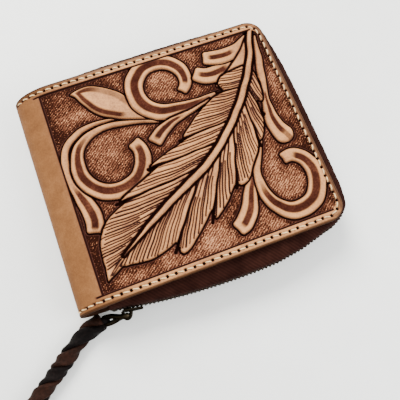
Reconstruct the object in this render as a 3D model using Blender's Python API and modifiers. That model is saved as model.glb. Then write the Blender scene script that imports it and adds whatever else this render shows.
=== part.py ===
"""Zip-around bifold wallet in tooled leather, closed and lying on its back cover.

Frame: +Z up, the spine along Y on the -X side, the zip's closed end at -X, -Y. The origin is under the
middle of the wallet, on the surface it lies on. The strap on the zip pull lies beside it.

Two leather halves fold open about the spine. Each carries its lining, its pockets, half of the zip and
its stitching. The slider runs along the bowed front side of the zip, and the pull swings on its bail.
Dimensions are in millimetres and become metres in the helpers.
"""

import math

import bmesh
import bpy
from mathutils import Matrix, Vector

MM = 0.001

# Covers
THICKNESS = 21.0  # over both covers
FREE_EDGE_X = 55.2
COVER_Y = (-47.8, 51.2)
CORNER_R = 7.5
COVER_LEATHER = 2.4
EDGE_ROUND = 0.4

# Spine: each half of it is a quarter of an ellipse
SPINE_START_X = -43.5
SPINE_REACH = 17.5
SPINE_STEPS = 10
FOLD_GAP = 0.15  # each side of the middle plane
FOLD_LAND = 1.5  # below this height each half's outer face is upright
HINGE_X = SPINE_START_X - SPINE_REACH - 0.15

MID_Z = THICKNESS / 2

# Stitching
STITCH_INSET = 2.2
THREAD_R = 0.3
GROOVE_R = 0.9

# Layers under a cover, as depths from its outer face
TAPE_DEPTH = 3.0  # to the middle of the tape
TAPE_THICK = 0.6
TAPE_FLANGE = 5.5
LINING_DEPTH = 3.6
LINING_THICK = 0.8
LINING_INSET = 1.2

# Pocket leaves: name, depth of the outer face, low X, high X, low Y, high Y
LEAF_THICK = 0.8
LEAF_CORNER_R = 3.0
FRONT_LEAVES = (
    ("front_card_pocket_back", 4.7, -39.5, 49.5, -43.0, 46.4),
    ("front_card_pocket_middle", 5.8, -39.5, 43.0, -43.0, 46.4),
    ("front_card_pocket_top", 6.9, -39.5, 36.5, -43.0, 46.4),
)
BACK_LEAVES = (
    ("banknote_pocket_panel", 4.7, -39.5, 49.5, -43.0, 46.4),
    ("back_card_pocket_lower", 5.8, -39.5, 49.5, -43.0, 30.0),
    ("back_card_pocket_upper", 6.9, -39.5, 49.5, -43.0, 17.0),
)

# Zip: the chain's outer face stands proud of the covers' edge by a bulge that changes along its way
ZIP_START_X = -46.0
ZIP_END_X = -44.5
RUN_CENTRE = (10.7, 241.0)  # the front side's chain is an arc about this point
RUN_RADIUS = 296.2
RUN_END_X = 34.0
BULGES = (  # distance along the cover's edge from the zip's start, bulge
    (87.7, 3.8),
    (93.7, 1.7),
    (99.6, 2.0),
    (105.5, 3.8),
    (113.0, 5.1),
    (130.0, 5.7),
    (155.0, 5.8),
    (172.0, 5.3),
    (182.0, 4.0),
    (189.5, 2.8),
    (195.4, 2.2),
    (201.3, 2.4),
    (216.0, 3.5),
    (242.0, 4.0),
    (268.0, 3.8),
    (288.0, 2.6),
    (294.0, 2.2),
)
CHAIN_THICK = 1.6
ROW_LOW = 0.45  # a row of teeth, from the middle plane
ROW_HIGH = 2.4
TAPE_LOW = 2.7
TAPE_SHOULDER = 5.1
STOP_LENGTH = 1.8

# Slider, in its own axes: X along the chain towards the zip's open end, Y outwards, Z up
SLIDER_X = -39.5
SLIDER_LENGTH = 10.0
SLIDER_NOSE = 4.7  # half heights
SLIDER_TAIL = 3.9
PLATE_THICK = 0.9
PLATE_GAP = 0.4  # between a plate and the chain
LIP_HEIGHT = (3.2, 3.9)
LIP_REACH = 0.5
LIP_SIDE = -1  # only round the back half's tape, so that the front half can lift out
POST_LENGTH = 3.0
POST_THICK = 0.4
BAIL_WIRE_R = 0.55
BAIL_X = -3.2
BAIL_RISE = 2.7
BAIL_HALF = 1.6

# Pull: an elongated wire loop that twists from upright at the bail to flat at its far end
PULL_WIRE_R = 0.6
PULL_HALF_WIDTH = 2.5
PULL_BAR_RISE = 1.4  # the bar under the bail, from the slider's outer face
PULL_END = (-54.0, -51.3, 3.3)
PULL_TWIST = math.radians(78)
TWIST_START = 0.2  # share of the pull's length

# Strap
STRAP_R = 3.2
STRAP_ROUTE = (
    (-57.0, -52.9, 3.3),
    (-61.0, -55.1, 3.25),
    (-65.0, -57.7, 3.25),
    (-71.9, -62.1, 3.25),
    (-79.0, -66.2, 3.25),
    (-87.3, -71.0, 3.25),
    (-94.5, -76.4, 3.25),
    (-99.6, -83.4, 3.25),
    (-102.6, -91.6, 3.25),
    (-103.8, -100.2, 3.25),
    (-103.6, -108.6, 3.25),
)
THONG_R = 1.0
LOOP_R = 1.95
KNOT_R = 4.3
KNOT_FLAT = 0.92
TAIL_R = 1.35
TAIL_LENGTH = 18.0
TAIL_LEAVES = math.radians(22)  # each side of the strap's line, where a tail leaves the knot
TAIL_SPREAD = math.radians(7)
GAP = 0.3


def clear_scene():
    for obj in list(bpy.data.objects):
        bpy.data.objects.remove(obj, do_unlink=True)


def new_collection(name, cutters=False):
    collection = bpy.data.collections.new(name)
    bpy.context.scene.collection.children.link(collection)
    collection.hide_render = cutters
    return collection


def new_material(name, colour, roughness, metallic=0.0):
    material = bpy.data.materials.new(name)
    material.use_nodes = True
    shader = material.node_tree.nodes["Principled BSDF"]
    shader.inputs["Base Color"].default_value = (*colour, 1.0)
    shader.inputs["Roughness"].default_value = roughness
    shader.inputs["Metallic"].default_value = metallic
    material.diffuse_color = (*colour, 1.0)
    return material


clear_scene()
WALLET = new_collection("zip_wallet")
CUTTERS = new_collection("cutters", cutters=True)

TOOLED = new_material("tooled_leather", (0.42, 0.20, 0.10), 0.5)
NATURAL = new_material("natural_leather", (0.52, 0.30, 0.16), 0.5)
POCKET = new_material("pocket_leather", (0.36, 0.18, 0.09), 0.6)
LINING = new_material("lining_leather", (0.20, 0.09, 0.05), 0.65)
THREAD = new_material("waxed_thread", (0.80, 0.68, 0.50), 0.6)
TAPE = new_material("zip_tape", (0.06, 0.022, 0.016), 0.85)
TEETH = new_material("zip_teeth", (0.05, 0.035, 0.025), 0.4, 1.0)
BRONZE = new_material("antique_bronze", (0.16, 0.12, 0.06), 0.4, 1.0)
STRAP = new_material("dark_leather", (0.05, 0.025, 0.02), 0.5)


def new_body(name, origin=(0.0, 0.0, 0.0), parent=None):
    """An empty on the body's joint axis, which the body's pieces hang from."""
    empty = bpy.data.objects.new(name + "_body", None)
    WALLET.objects.link(empty)
    empty.location = Vector(origin) * MM
    if parent:
        hang(empty, parent)
    return empty


def hang(obj, parent):
    """Parents obj where it stands."""
    bpy.context.view_layer.update()
    obj.parent = parent
    obj.matrix_parent_inverse = parent.matrix_world.inverted()


def add_piece(name, data, material, body, smooth=True):
    data.materials.append(material)
    obj = bpy.data.objects.new(name, data)
    WALLET.objects.link(obj)
    hang(obj, body)
    if smooth and isinstance(data, bpy.types.Mesh):
        data.shade_smooth()
        data.set_sharp_from_angle(angle=math.radians(35))
    return obj


def mesh_from(bm, name):
    bmesh.ops.recalc_face_normals(bm, faces=bm.faces)
    mesh = bpy.data.meshes.new(name)
    bm.to_mesh(mesh)
    bm.free()
    return mesh


def grid_mesh(name, rows, closed=False):
    """A surface through rows of points; closed rows with both ends capped make a solid."""
    bm = bmesh.new()
    made = [[bm.verts.new(Vector(p) * MM) for p in row] for row in rows]
    width = len(rows[0])
    for low, high in zip(made, made[1:]):
        for k in range(width if closed else width - 1):
            after = (k + 1) % width
            bm.faces.new((low[k], low[after], high[after], high[k]))
    if closed:
        bm.faces.new(made[0])
        bm.faces.new(made[-1])
    return mesh_from(bm, name)


def tube_curve(name, points, radius, sides=8, cyclic=False):
    """A round wire along the points, with filled ends."""
    curve = bpy.data.curves.new(name, "CURVE")
    curve.dimensions = "3D"
    curve.bevel_depth = radius * MM
    curve.bevel_resolution = (sides - 4) // 2
    curve.use_fill_caps = not cyclic
    spline = curve.splines.new("POLY")
    spline.points.add(len(points) - 1)
    for point, place in zip(spline.points, points):
        point.co = (*(Vector(place) * MM), 1.0)
    spline.use_cyclic_u = cyclic
    return curve


def to_mesh(curve, name):
    """The curve's solid as a mesh, with its caps welded on."""
    guide = bpy.data.objects.new(name + "_guide", curve)
    CUTTERS.objects.link(guide)
    bpy.context.view_layer.update()
    graph = bpy.context.evaluated_depsgraph_get()
    mesh = bpy.data.meshes.new_from_object(guide.evaluated_get(graph))
    bm = bmesh.new()
    bm.from_mesh(mesh)
    bmesh.ops.remove_doubles(bm, verts=bm.verts, dist=0.00001)
    bmesh.ops.recalc_face_normals(bm, faces=bm.faces)
    bm.to_mesh(mesh)
    bm.free()
    mesh.name = name
    bpy.data.objects.remove(guide, do_unlink=True)
    return mesh


def add_cutter(name, mesh):
    cutter = bpy.data.objects.new(name, mesh)
    CUTTERS.objects.link(cutter)
    cutter.hide_render = True
    cutter.display_type = "WIRE"
    return cutter


def combine(obj, other, operation):
    modifier = obj.modifiers.new(operation.lower(), "BOOLEAN")
    modifier.operation = operation
    modifier.solver = "EXACT"
    modifier.object = other


def solidify(obj, thickness, offset):
    modifier = obj.modifiers.new("thickness", "SOLIDIFY")
    modifier.thickness = thickness * MM
    modifier.offset = offset
    modifier.use_even_offset = True


def round_edges(obj, width, segments=2):
    modifier = obj.modifiers.new("rounded", "BEVEL")
    modifier.width = width * MM
    modifier.segments = segments
    modifier.limit_method = "ANGLE"
    modifier.angle_limit = math.radians(50)


def arc(centre, radius, start, end, steps):
    """Points round a circle, with the angles in degrees."""
    angles = [math.radians(start + (end - start) * k / steps) for k in range(steps + 1)]
    return [(centre[0] + radius * math.cos(a), centre[1] + radius * math.sin(a)) for a in angles]


def smooth_between(pairs, at):
    """A value read from (station, value) pairs by a curve that never overshoots them."""
    if at <= pairs[0][0]:
        return pairs[0][1]
    if at >= pairs[-1][0]:
        return pairs[-1][1]
    k = max(i for i, (station, _) in enumerate(pairs[:-1]) if station <= at)

    def slope_at(i):
        if i in (0, len(pairs) - 1):
            return 0.0
        before = (pairs[i][1] - pairs[i - 1][1]) / (pairs[i][0] - pairs[i - 1][0])
        after = (pairs[i + 1][1] - pairs[i][1]) / (pairs[i + 1][0] - pairs[i][0])
        if before * after <= 0:
            return 0.0
        return 2 * before * after / (before + after)

    span = pairs[k + 1][0] - pairs[k][0]
    t = (at - pairs[k][0]) / span
    rise = pairs[k + 1][1] - pairs[k][1]
    ease = t * t * (3 - 2 * t)
    lean = t * (1 - t) ** 2 * slope_at(k) - t * t * (1 - t) * slope_at(k + 1)
    return pairs[k][1] + rise * ease + span * lean


def smooth_route(points, steps):
    """Points on a Catmull-Rom curve through the given ones."""
    ends = [2 * Vector(points[0]) - Vector(points[1]), 2 * Vector(points[-1]) - Vector(points[-2])]
    knots = [ends[0], *(Vector(p) for p in points), ends[1]]
    route = []
    for a, b, c, d in zip(knots, knots[1:], knots[2:], knots[3:]):
        for k in range(steps):
            t = k / steps
            bend = 2 * a - 5 * b + 4 * c - d
            turn = 3 * (b - c) + d - a
            route.append((2 * b + (c - a) * t + bend * t * t + turn * t**3) / 2)
    route.append(Vector(points[-1]))
    return route


# Covers, linings and stitching


def cover_profile(depth, inset):
    """(x, height over the middle plane) of a layer at this depth, from its free edge to the fold."""
    corner = CORNER_R - inset
    centre_x = FREE_EDGE_X - inset - corner
    height = MID_Z - depth
    reach = SPINE_REACH - depth
    stations = [centre_x + corner * math.cos(math.radians(22.5 * k)) for k in range(4)]
    stations.append(centre_x)
    last = math.acos(FOLD_LAND / height)
    turns = [last * k / SPINE_STEPS for k in range(SPINE_STEPS + 1)]
    spine = [(SPINE_START_X - reach * math.sin(t), height * math.cos(t)) for t in turns]
    return [(x, height) for x in stations] + spine + [(spine[-1][0], FOLD_GAP)]


def edge_y(x, inset):
    """The layer's low and high Y at this X: its corners on the free edge are round."""
    corner = CORNER_R - inset
    into = max(0.0, x - (FREE_EDGE_X - inset - corner))
    cut = corner - math.sqrt(max(0.0, corner**2 - into**2))
    return COVER_Y[0] + inset + cut, COVER_Y[1] - inset - cut


def layer_mesh(name, side, depth, inset):
    """One leather layer's outer face, flat over the cover and bent round its half of the spine."""
    rows = []
    for x, height in cover_profile(depth, inset):
        low, high = edge_y(x, inset)
        z = MID_Z + side * height
        rows.append([(x, low, z), (x, high, z)])
    mesh = grid_mesh(name, rows)
    if mesh.polygons[8].normal.z * side < 0:
        mesh.flip_normals()
    return mesh


def stitch_path(side, past_fold):
    """Along the stitching, from the fold over the spine, round the three free sides and back."""
    radius = CORNER_R - STITCH_INSET
    reach = SPINE_REACH - THREAD_R
    height = MID_Z - THREAD_R
    z = MID_Z + side * height
    low, high = COVER_Y[0] + STITCH_INSET, COVER_Y[1] - STITCH_INSET
    right = FREE_EDGE_X - STITCH_INSET
    last = math.pi / 2 - (-past_fold if past_fold > 0 else FOLD_GAP + THREAD_R) / height
    turns = [last * k / SPINE_STEPS for k in range(SPINE_STEPS, -1, -1)]
    spine = [(SPINE_START_X - reach * math.sin(t), MID_Z + side * height * math.cos(t)) for t in turns]
    first = arc((right - radius, low + radius), radius, -90, 0, 5)
    second = arc((right - radius, high - radius), radius, 0, 90, 5)
    path = [(x, low, up) for x, up in spine]
    path += [(x, y, z) for x, y in first + second]
    path += [(x, high, up) for x, up in reversed(spine)]
    return path


def make_half(side, half, body):
    """A cover with its stitching groove, its stitching and its lining."""
    cover = add_piece(
        f"{half}_cover",
        layer_mesh(f"{half}_cover", side, 0.0, 0.0),
        TOOLED if side > 0 else NATURAL,
        body,
    )
    solidify(cover, COVER_LEATHER, -1)
    round_edges(cover, EDGE_ROUND)
    groove = to_mesh(tube_curve("groove", stitch_path(side, 1.0), GROOVE_R, 4), "groove")
    combine(cover, add_cutter(f"{half}_groove", groove), "DIFFERENCE")
    thread = tube_curve(f"{half}_stitching", stitch_path(side, 0.0), THREAD_R, 6)
    add_piece(f"{half}_stitching", thread, THREAD, body)
    lining = add_piece(
        f"{half}_lining",
        layer_mesh(f"{half}_lining", side, LINING_DEPTH, LINING_INSET),
        LINING,
        body,
    )
    solidify(lining, LINING_THICK, -1)


def make_leaf(name, side, depth, low_x, high_x, low_y, high_y, body):
    """A pocket leaf: a flat panel with round corners on the free side."""
    radius = LEAF_CORNER_R
    outline = [(low_x, low_y)]
    outline += arc((high_x - radius, low_y + radius), radius, -90, 0, 4)
    outline += arc((high_x - radius, high_y - radius), radius, 0, 90, 4)
    outline.append((low_x, high_y))
    curve = bpy.data.curves.new(name, "CURVE")
    curve.dimensions = "2D"
    curve.fill_mode = "BOTH"
    curve.extrude = LEAF_THICK / 2 * MM
    spline = curve.splines.new("POLY")
    spline.points.add(len(outline) - 1)
    for point, (x, y) in zip(spline.points, outline):
        point.co = (x * MM, y * MM, 0.0, 1.0)
    spline.use_cyclic_u = True
    obj = add_piece(name, curve, POCKET, body)
    obj.location.z = (MID_Z + side * (MID_Z - depth - LEAF_THICK / 2)) * MM


# Zip


def edge_station(s):
    """(x, y, outward normal) on the covers' edge at distance s from the zip's start."""
    turn = CORNER_R * math.pi / 2
    centre_x = FREE_EDGE_X - CORNER_R
    low, high = COVER_Y[0] + CORNER_R, COVER_Y[1] - CORNER_R
    bottom = centre_x - ZIP_START_X
    right = high - low
    if s < bottom:
        return ZIP_START_X + s, COVER_Y[0], 0.0, -1.0
    s -= bottom
    if s < turn:
        angle = s / CORNER_R - math.pi / 2
        normal = (math.cos(angle), math.sin(angle))
        return centre_x + CORNER_R * normal[0], low + CORNER_R * normal[1], *normal
    s -= turn
    if s < right:
        return FREE_EDGE_X, low + s, 1.0, 0.0
    s -= right
    if s < turn:
        angle = s / CORNER_R
        normal = (math.cos(angle), math.sin(angle))
        return centre_x + CORNER_R * normal[0], high + CORNER_R * normal[1], *normal
    return centre_x - (s - turn), COVER_Y[1], 0.0, 1.0


def run_bulge(x):
    """How far the chain stands proud on the slider's arc."""
    return COVER_Y[0] - RUN_CENTRE[1] + math.sqrt(RUN_RADIUS**2 - (x - RUN_CENTRE[0]) ** 2)


def bulge_at(s):
    run_end = RUN_END_X - ZIP_START_X
    if s <= run_end:
        return run_bulge(ZIP_START_X + s)
    return smooth_between(((run_end, run_bulge(RUN_END_X)), *BULGES), s)


def zip_stations():
    """Distances along the edge, closer together on the corners."""
    turn = CORNER_R * math.pi / 2
    bottom = FREE_EDGE_X - CORNER_R - ZIP_START_X
    right = COVER_Y[1] - COVER_Y[0] - 2 * CORNER_R
    top = FREE_EDGE_X - CORNER_R - ZIP_END_X
    stations = [0.0]
    for length, steps in ((bottom, 18), (turn, 5), (right, 14), (turn, 5), (top, 14)):
        start = stations[-1]
        stations += [start + length * (k + 1) / steps for k in range(steps)]
    return stations


def zip_rows(side, section):
    """A section, (offset outwards, height over the middle plane) for a bulge, at every station."""
    rows = []
    for s in zip_stations():
        x, y, nx, ny = edge_station(s)
        points = section(bulge_at(s))
        rows.append([(x + nx * out, y + ny * out, MID_Z + side * up) for out, up in points])
    return rows


def tape_section(bulge):
    """From the sewn flange under the cover, over a round shoulder, down to the teeth."""
    flange = MID_Z - TAPE_DEPTH
    chain = bulge - CHAIN_THICK / 2
    drop = flange - TAPE_SHOULDER
    shoulder = [math.radians(30 * k) for k in range(4)]
    points = [(-TAPE_FLANGE, flange)]
    points += [(-1 + (chain + 1) * math.sin(a), TAPE_SHOULDER + drop * math.cos(a)) for a in shoulder]
    points.append((chain, TAPE_LOW))
    return points


def row_section(bulge):
    inner = bulge - CHAIN_THICK
    return [(bulge, ROW_LOW), (bulge, ROW_HIGH), (inner, ROW_HIGH), (inner, ROW_LOW)]


def make_zip_side(side, which, body):
    tape = grid_mesh(f"{which}_zip_tape", zip_rows(side, tape_section))
    solidify(add_piece(f"{which}_zip_tape", tape, TAPE, body), TAPE_THICK, 0)
    row = grid_mesh(f"{which}_zip_teeth", zip_rows(side, row_section), closed=True)
    add_piece(f"{which}_zip_teeth", row, TEETH, body, smooth=False)


def make_stop(name, place, height, body):
    """A metal stop crimped on the tape's end, past the last tooth."""
    bm = bmesh.new()
    bmesh.ops.create_cube(bm, size=1.0)
    bmesh.ops.scale(bm, vec=Vector((STOP_LENGTH, CHAIN_THICK, height)) * MM, verts=bm.verts)
    obj = add_piece(name, mesh_from(bm, name), BRONZE, body)
    obj.location = Vector(place) * MM
    round_edges(obj, 0.3)


def make_stops(back, front):
    """A top stop on each tape by the slider, and one bottom stop over both rows at the far end."""
    chain = CHAIN_THICK / 2
    height = ROW_HIGH - ROW_LOW
    x = ZIP_START_X - STOP_LENGTH / 2 - GAP
    y = COVER_Y[0] - bulge_at(0.0) + chain
    middle = ROW_LOW + height / 2
    make_stop("back_top_stop", (x, y, MID_Z - middle), height, back)
    make_stop("front_top_stop", (x, y, MID_Z + middle), height, front)
    x = ZIP_END_X - STOP_LENGTH / 2 - GAP
    y = COVER_Y[1] + bulge_at(zip_stations()[-1]) - chain
    make_stop("zip_bottom_stop", (x, y, MID_Z), 2 * ROW_HIGH, back)


# Slider, pull and strap


def slider_place():
    """The slider's axes and place on its arc, from its own axes to the wallet's."""
    bulge = run_bulge(SLIDER_X)
    lean = (SLIDER_X - RUN_CENTRE[0]) / RUN_RADIUS
    along = Vector((math.cos(lean), math.sin(lean), 0.0))
    outward = Vector((math.sin(lean), -math.cos(lean), 0.0))
    up = Vector((0.0, 0.0, 1.0))
    place = Vector((SLIDER_X, COVER_Y[0] - bulge, MID_Z))
    frame = Matrix((along, outward, up)).transposed().to_4x4()
    return Matrix.Translation(place * MM) @ frame


def slider_plate(name, low_y):
    """A plate with a wide nose and a narrow tail, between low_y and low_y + PLATE_THICK."""
    half = SLIDER_LENGTH / 2
    side = [(-half, 2.4), (-half + 1.2, SLIDER_NOSE), (-0.6, SLIDER_NOSE)]
    side += [(1.4, SLIDER_TAIL), (half - 0.8, SLIDER_TAIL), (half, SLIDER_TAIL - 0.8)]
    outline = [(x, -z) for x, z in side] + [(x, z) for x, z in reversed(side)]
    rows = [[(x, y, z) for x, z in outline] for y in (low_y, low_y + PLATE_THICK)]
    return grid_mesh(name, rows, closed=True)


def box_mesh(name, low, high):
    bm = bmesh.new()
    bmesh.ops.create_cube(bm, size=1.0)
    low, high = Vector(low) * MM, Vector(high) * MM
    bmesh.ops.scale(bm, vec=high - low, verts=bm.verts)
    bmesh.ops.translate(bm, vec=(low + high) / 2, verts=bm.verts)
    return mesh_from(bm, name)


def make_slider(body):
    """Two plates joined by a thin post in the middle plane, with lips that keep the tapes in."""
    outer_face = PLATE_GAP
    inner_face = -CHAIN_THICK - PLATE_GAP
    half = SLIDER_LENGTH / 2
    slider = add_piece("zip_slider", slider_plate("zip_slider", outer_face), BRONZE, body)
    parts = [slider_plate("inner_plate", inner_face - PLATE_THICK)]
    post = POST_THICK / 2
    parts.append(
        box_mesh(
            "post",
            (-half + 0.8, inner_face - 0.2, -post),
            (-half + 0.8 + POST_LENGTH, outer_face + 0.2, post),
        )
    )
    low, high = sorted(LIP_SIDE * height for height in LIP_HEIGHT)
    for face, reach in ((outer_face + 0.2, -LIP_REACH - 0.2), (inner_face - 0.2, LIP_REACH + 0.2)):
        near, far = sorted((face, face + reach))
        parts.append(box_mesh("lip", (-half + 0.9, near, low), (half - 0.9, far, high)))
    rise = outer_face + PLATE_THICK
    feet = [(BAIL_X + side * BAIL_HALF, rise - 0.6, 0.0) for side in (-1, 1)]
    top = arc((0.0, 0.0), 1.0, 180, 0, 8)
    wire = [(BAIL_X + BAIL_HALF * x, rise + BAIL_RISE * y, 0.0) for x, y in top]
    bail = tube_curve("bail", [feet[0], *wire, feet[1]], BAIL_WIRE_R, 8)
    parts.append(to_mesh(bail, "bail"))
    place = slider_place()
    slider.matrix_world = place
    for number, mesh in enumerate(parts):
        part = add_cutter(f"slider_part_{number}", mesh)
        part.matrix_world = place
        combine(slider, part, "UNION")


def pull_pivot():
    rise = PLATE_GAP + PLATE_THICK + PULL_BAR_RISE
    return slider_place() @ (Vector((BAIL_X, rise, 0.0)) * MM) / MM


def pull_path():
    """Round the loop: out along its upper side, round the far end and back along the lower one."""
    start = pull_pivot()
    end = Vector(PULL_END)
    length = (end - start).length
    along = (end - start).normalized()
    level = Vector((along.y, -along.x, 0.0)).normalized()
    upright = Vector((0.0, 0.0, 1.0))
    half = PULL_HALF_WIDTH
    straight = [(k / 6, 1.0) for k in range(7)]
    bend = [(1.0, math.cos(math.radians(a))) for a in (30, 60, 90, 120, 150)]
    reach = [math.sin(math.radians(a)) * half for a in (30, 60, 90, 120, 150)]
    path = []
    run = length - half
    for share, width in straight:
        path.append(pull_point(start, along, upright, level, share, share * run, width))
    for (share, width), more in zip(bend, reach):
        path.append(pull_point(start, along, upright, level, share, run + more, width))
    for share, width in reversed(straight):
        path.append(pull_point(start, along, upright, level, share, share * run, -width))
    return path


def pull_point(start, along, upright, level, share, distance, width):
    late = max(0.0, (share - TWIST_START) / (1 - TWIST_START))
    turn = PULL_TWIST * late * late * (3 - 2 * late)
    across = upright * math.cos(turn) + level * math.sin(turn)
    return start + along * distance + across * width * PULL_HALF_WIDTH


def make_strap(body):
    """The thong looped through the pull, the twisted strap, its knot and the two tails."""
    end = Vector(PULL_END)
    route = smooth_route(STRAP_ROUTE, 2)
    add_piece("strap", tube_curve("strap", route, STRAP_R, 10), STRAP, body)
    back = (route[0] - end).normalized()
    back.z = 0.0
    leg = (route[0] - end).length - GAP - 0.15
    up = Vector((0.0, 0.0, 1.0))
    inward = pull_pivot() - end
    inward.z = 0.0
    inward.normalize()
    turns = [math.radians(22.5 * k) for k in range(9)]
    around = [end + (up * math.cos(a) + inward * math.sin(a)) * LOOP_R for a in turns]
    loop = [around[0] + back * leg, *around, around[-1] + back * leg]
    add_piece("strap_loop", tube_curve("strap_loop", loop, THONG_R, 8), STRAP, body)
    ahead = (route[-1] - route[-2]).normalized()
    centre = route[-1] + ahead * (KNOT_R * KNOT_FLAT + GAP)
    centre.z = KNOT_R * 0.8 + 0.05
    bm = bmesh.new()
    bmesh.ops.create_uvsphere(bm, u_segments=14, v_segments=8, radius=KNOT_R * MM)
    bmesh.ops.scale(bm, vec=(1.0, KNOT_FLAT, 0.8), verts=bm.verts)
    knot = add_piece("strap_knot", mesh_from(bm, "strap_knot"), STRAP, body)
    knot.location = centre * MM
    for name, side in (("strap_tail_left", 1), ("strap_tail_right", -1)):
        first = centre + Matrix.Rotation(side * TAIL_LEAVES, 3, "Z") @ ahead * (KNOT_R + GAP)
        way = Matrix.Rotation(side * TAIL_SPREAD, 3, "Z") @ ahead
        tail = []
        for k in range(5):
            spot = first + way * TAIL_LENGTH * k / 4
            spot.z = TAIL_R + 0.05 + 0.8 * (1 - k / 4) ** 2
            tail.append(spot)
        add_piece(name, tube_curve(name, tail, TAIL_R, 8), STRAP, body)


def main():
    back = new_body("back_half")
    front = new_body("front_half", (HINGE_X, 0.0, MID_Z), back)
    run = new_body("slider", (*RUN_CENTRE, MID_Z), back)
    pull = new_body("pull", pull_pivot(), run)

    make_half(-1, "back", back)
    make_half(1, "front", front)
    for leaf in BACK_LEAVES:
        make_leaf(leaf[0], -1, *leaf[1:], back)
    for leaf in FRONT_LEAVES:
        make_leaf(leaf[0], 1, *leaf[1:], front)
    make_zip_side(-1, "lower", back)
    make_zip_side(1, "upper", front)
    make_stops(back, front)
    make_slider(run)
    wire = tube_curve("zip_pull", pull_path(), PULL_WIRE_R, 8, cyclic=True)
    add_piece("zip_pull", wire, BRONZE, pull)
    make_strap(pull)


main()
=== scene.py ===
"""Looks for the zip-around wallet: tooled leather, stitching, zip, pull, strap and pockets."""

import math

import bmesh
import bpy
import numpy as np
from mathutils import Matrix, Vector


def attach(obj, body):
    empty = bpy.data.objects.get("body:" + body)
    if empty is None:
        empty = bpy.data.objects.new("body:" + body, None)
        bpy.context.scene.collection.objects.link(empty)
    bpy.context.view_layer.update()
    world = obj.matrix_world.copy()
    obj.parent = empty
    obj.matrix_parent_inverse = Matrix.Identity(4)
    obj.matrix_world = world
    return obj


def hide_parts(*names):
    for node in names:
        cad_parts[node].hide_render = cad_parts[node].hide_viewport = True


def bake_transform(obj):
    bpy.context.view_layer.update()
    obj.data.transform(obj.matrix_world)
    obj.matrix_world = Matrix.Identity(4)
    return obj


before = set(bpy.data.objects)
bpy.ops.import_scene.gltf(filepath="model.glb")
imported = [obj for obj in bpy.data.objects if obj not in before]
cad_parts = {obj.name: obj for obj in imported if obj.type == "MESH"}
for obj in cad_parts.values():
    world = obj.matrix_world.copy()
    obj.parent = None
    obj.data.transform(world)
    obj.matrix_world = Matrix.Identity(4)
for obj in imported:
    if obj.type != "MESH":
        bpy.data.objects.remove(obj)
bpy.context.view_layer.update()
MM = 0.001

# Dimensions in millimetres, as in part.py. Only the stitching's inset, the run's end, the bulges and the
# pull's width are nearer to the photo here.
THICKNESS = 21.0
MID_Z = THICKNESS / 2
FREE_EDGE_X = 55.2
COVER_Y = (-47.8, 51.2)
CORNER_R = 7.5
COVER_LEATHER = 2.4
SPINE_START_X = -43.5
SPINE_REACH = 17.5
STITCH_INSET = 2.3
LINING_DEPTH = 3.6
LINING_THICK = 0.8
LINING_INSET = 1.2
ZIP_START_X = -46.0
ZIP_END_X = -44.5
RUN_CENTRE = (10.7, 241.0)
RUN_RADIUS = 296.2
RUN_END_X = 21.0
# The zip's bulge past the slider's run: (distance along the edge, bulge) pairs
BULGES = (
    (73.4, 6.5), (80.0, 5.5), (85.0, 4.2), (89.5, 3.0), (93.7, 1.9), (97.0, 1.5), (100.0, 2.0),
    (105.5, 3.8), (113.0, 4.7), (130.0, 4.9), (155.0, 4.9), (172.0, 4.5), (182.0, 3.7), (189.5, 2.8),
    (195.4, 2.2), (201.3, 2.4), (216.0, 3.5), (242.0, 4.0), (268.0, 3.8), (288.0, 2.6), (294.0, 2.2),
)
CHAIN_THICK = 1.6
SLIDER_X = -39.5
SLIDER_LENGTH = 10.0
PLATE_THICK = 0.9
PLATE_GAP = 0.4
BAIL_X = -3.2
BAIL_RISE = 2.7
BAIL_HALF = 1.6
PULL_END = (-54.0, -51.3, 3.3)
PULL_HALF_WIDTH = 1.45
PULL_BAR_RISE = 1.4
STRAP_ROUTE = (
    (-57.6, -51.9, 3.3), (-61.9, -53.2, 3.25), (-66.2, -55.6, 3.25), (-71.6, -59.5, 3.25),
    (-78.6, -64.6, 3.25), (-87.0, -70.6, 3.25), (-94.5, -76.4, 3.25), (-99.6, -83.4, 3.25),
    (-102.6, -91.6, 3.25), (-103.8, -100.2, 3.25), (-103.6, -108.6, 3.25),
)


# Camera

TARGET = Vector((0.08, -20.79, 21.0)) * MM
DISTANCE = 196.2 * MM
AZIMUTH = math.radians(26.23)
ELEVATION = math.radians(74.18)
ROLL = math.radians(5.647)
LENS = 43.2


def add_camera():
    flat = math.cos(ELEVATION)
    away = Vector((-flat * math.sin(AZIMUTH), -flat * math.cos(AZIMUTH), math.sin(ELEVATION)))
    ahead = -away
    level = ahead.cross(Vector((0, 0, 1))).normalized()
    above = level.cross(ahead)
    right = level * math.cos(ROLL) + above * math.sin(ROLL)
    up = above * math.cos(ROLL) - level * math.sin(ROLL)
    camera = bpy.data.objects.new("camera", bpy.data.cameras.new("camera"))
    camera.data.lens = LENS
    camera.data.clip_start = 0.005
    camera.matrix_world = (
        Matrix.Translation(TARGET + away * DISTANCE) @ Matrix((right, up, away)).transposed().to_4x4()
    )
    bpy.context.collection.objects.link(camera)
    bpy.context.scene.camera = camera


def add_light(name, place, size, watts, colour=(1, 1, 1)):
    light = bpy.data.lights.new(name, "AREA")
    light.shape = "DISK"
    light.size = size
    light.energy = watts
    light.color = colour
    obj = bpy.data.objects.new(name, light)
    obj.location = place
    obj.rotation_euler = (-Vector(place)).to_track_quat("-Z", "Y").to_euler()
    bpy.context.collection.objects.link(obj)


# Materials


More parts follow.
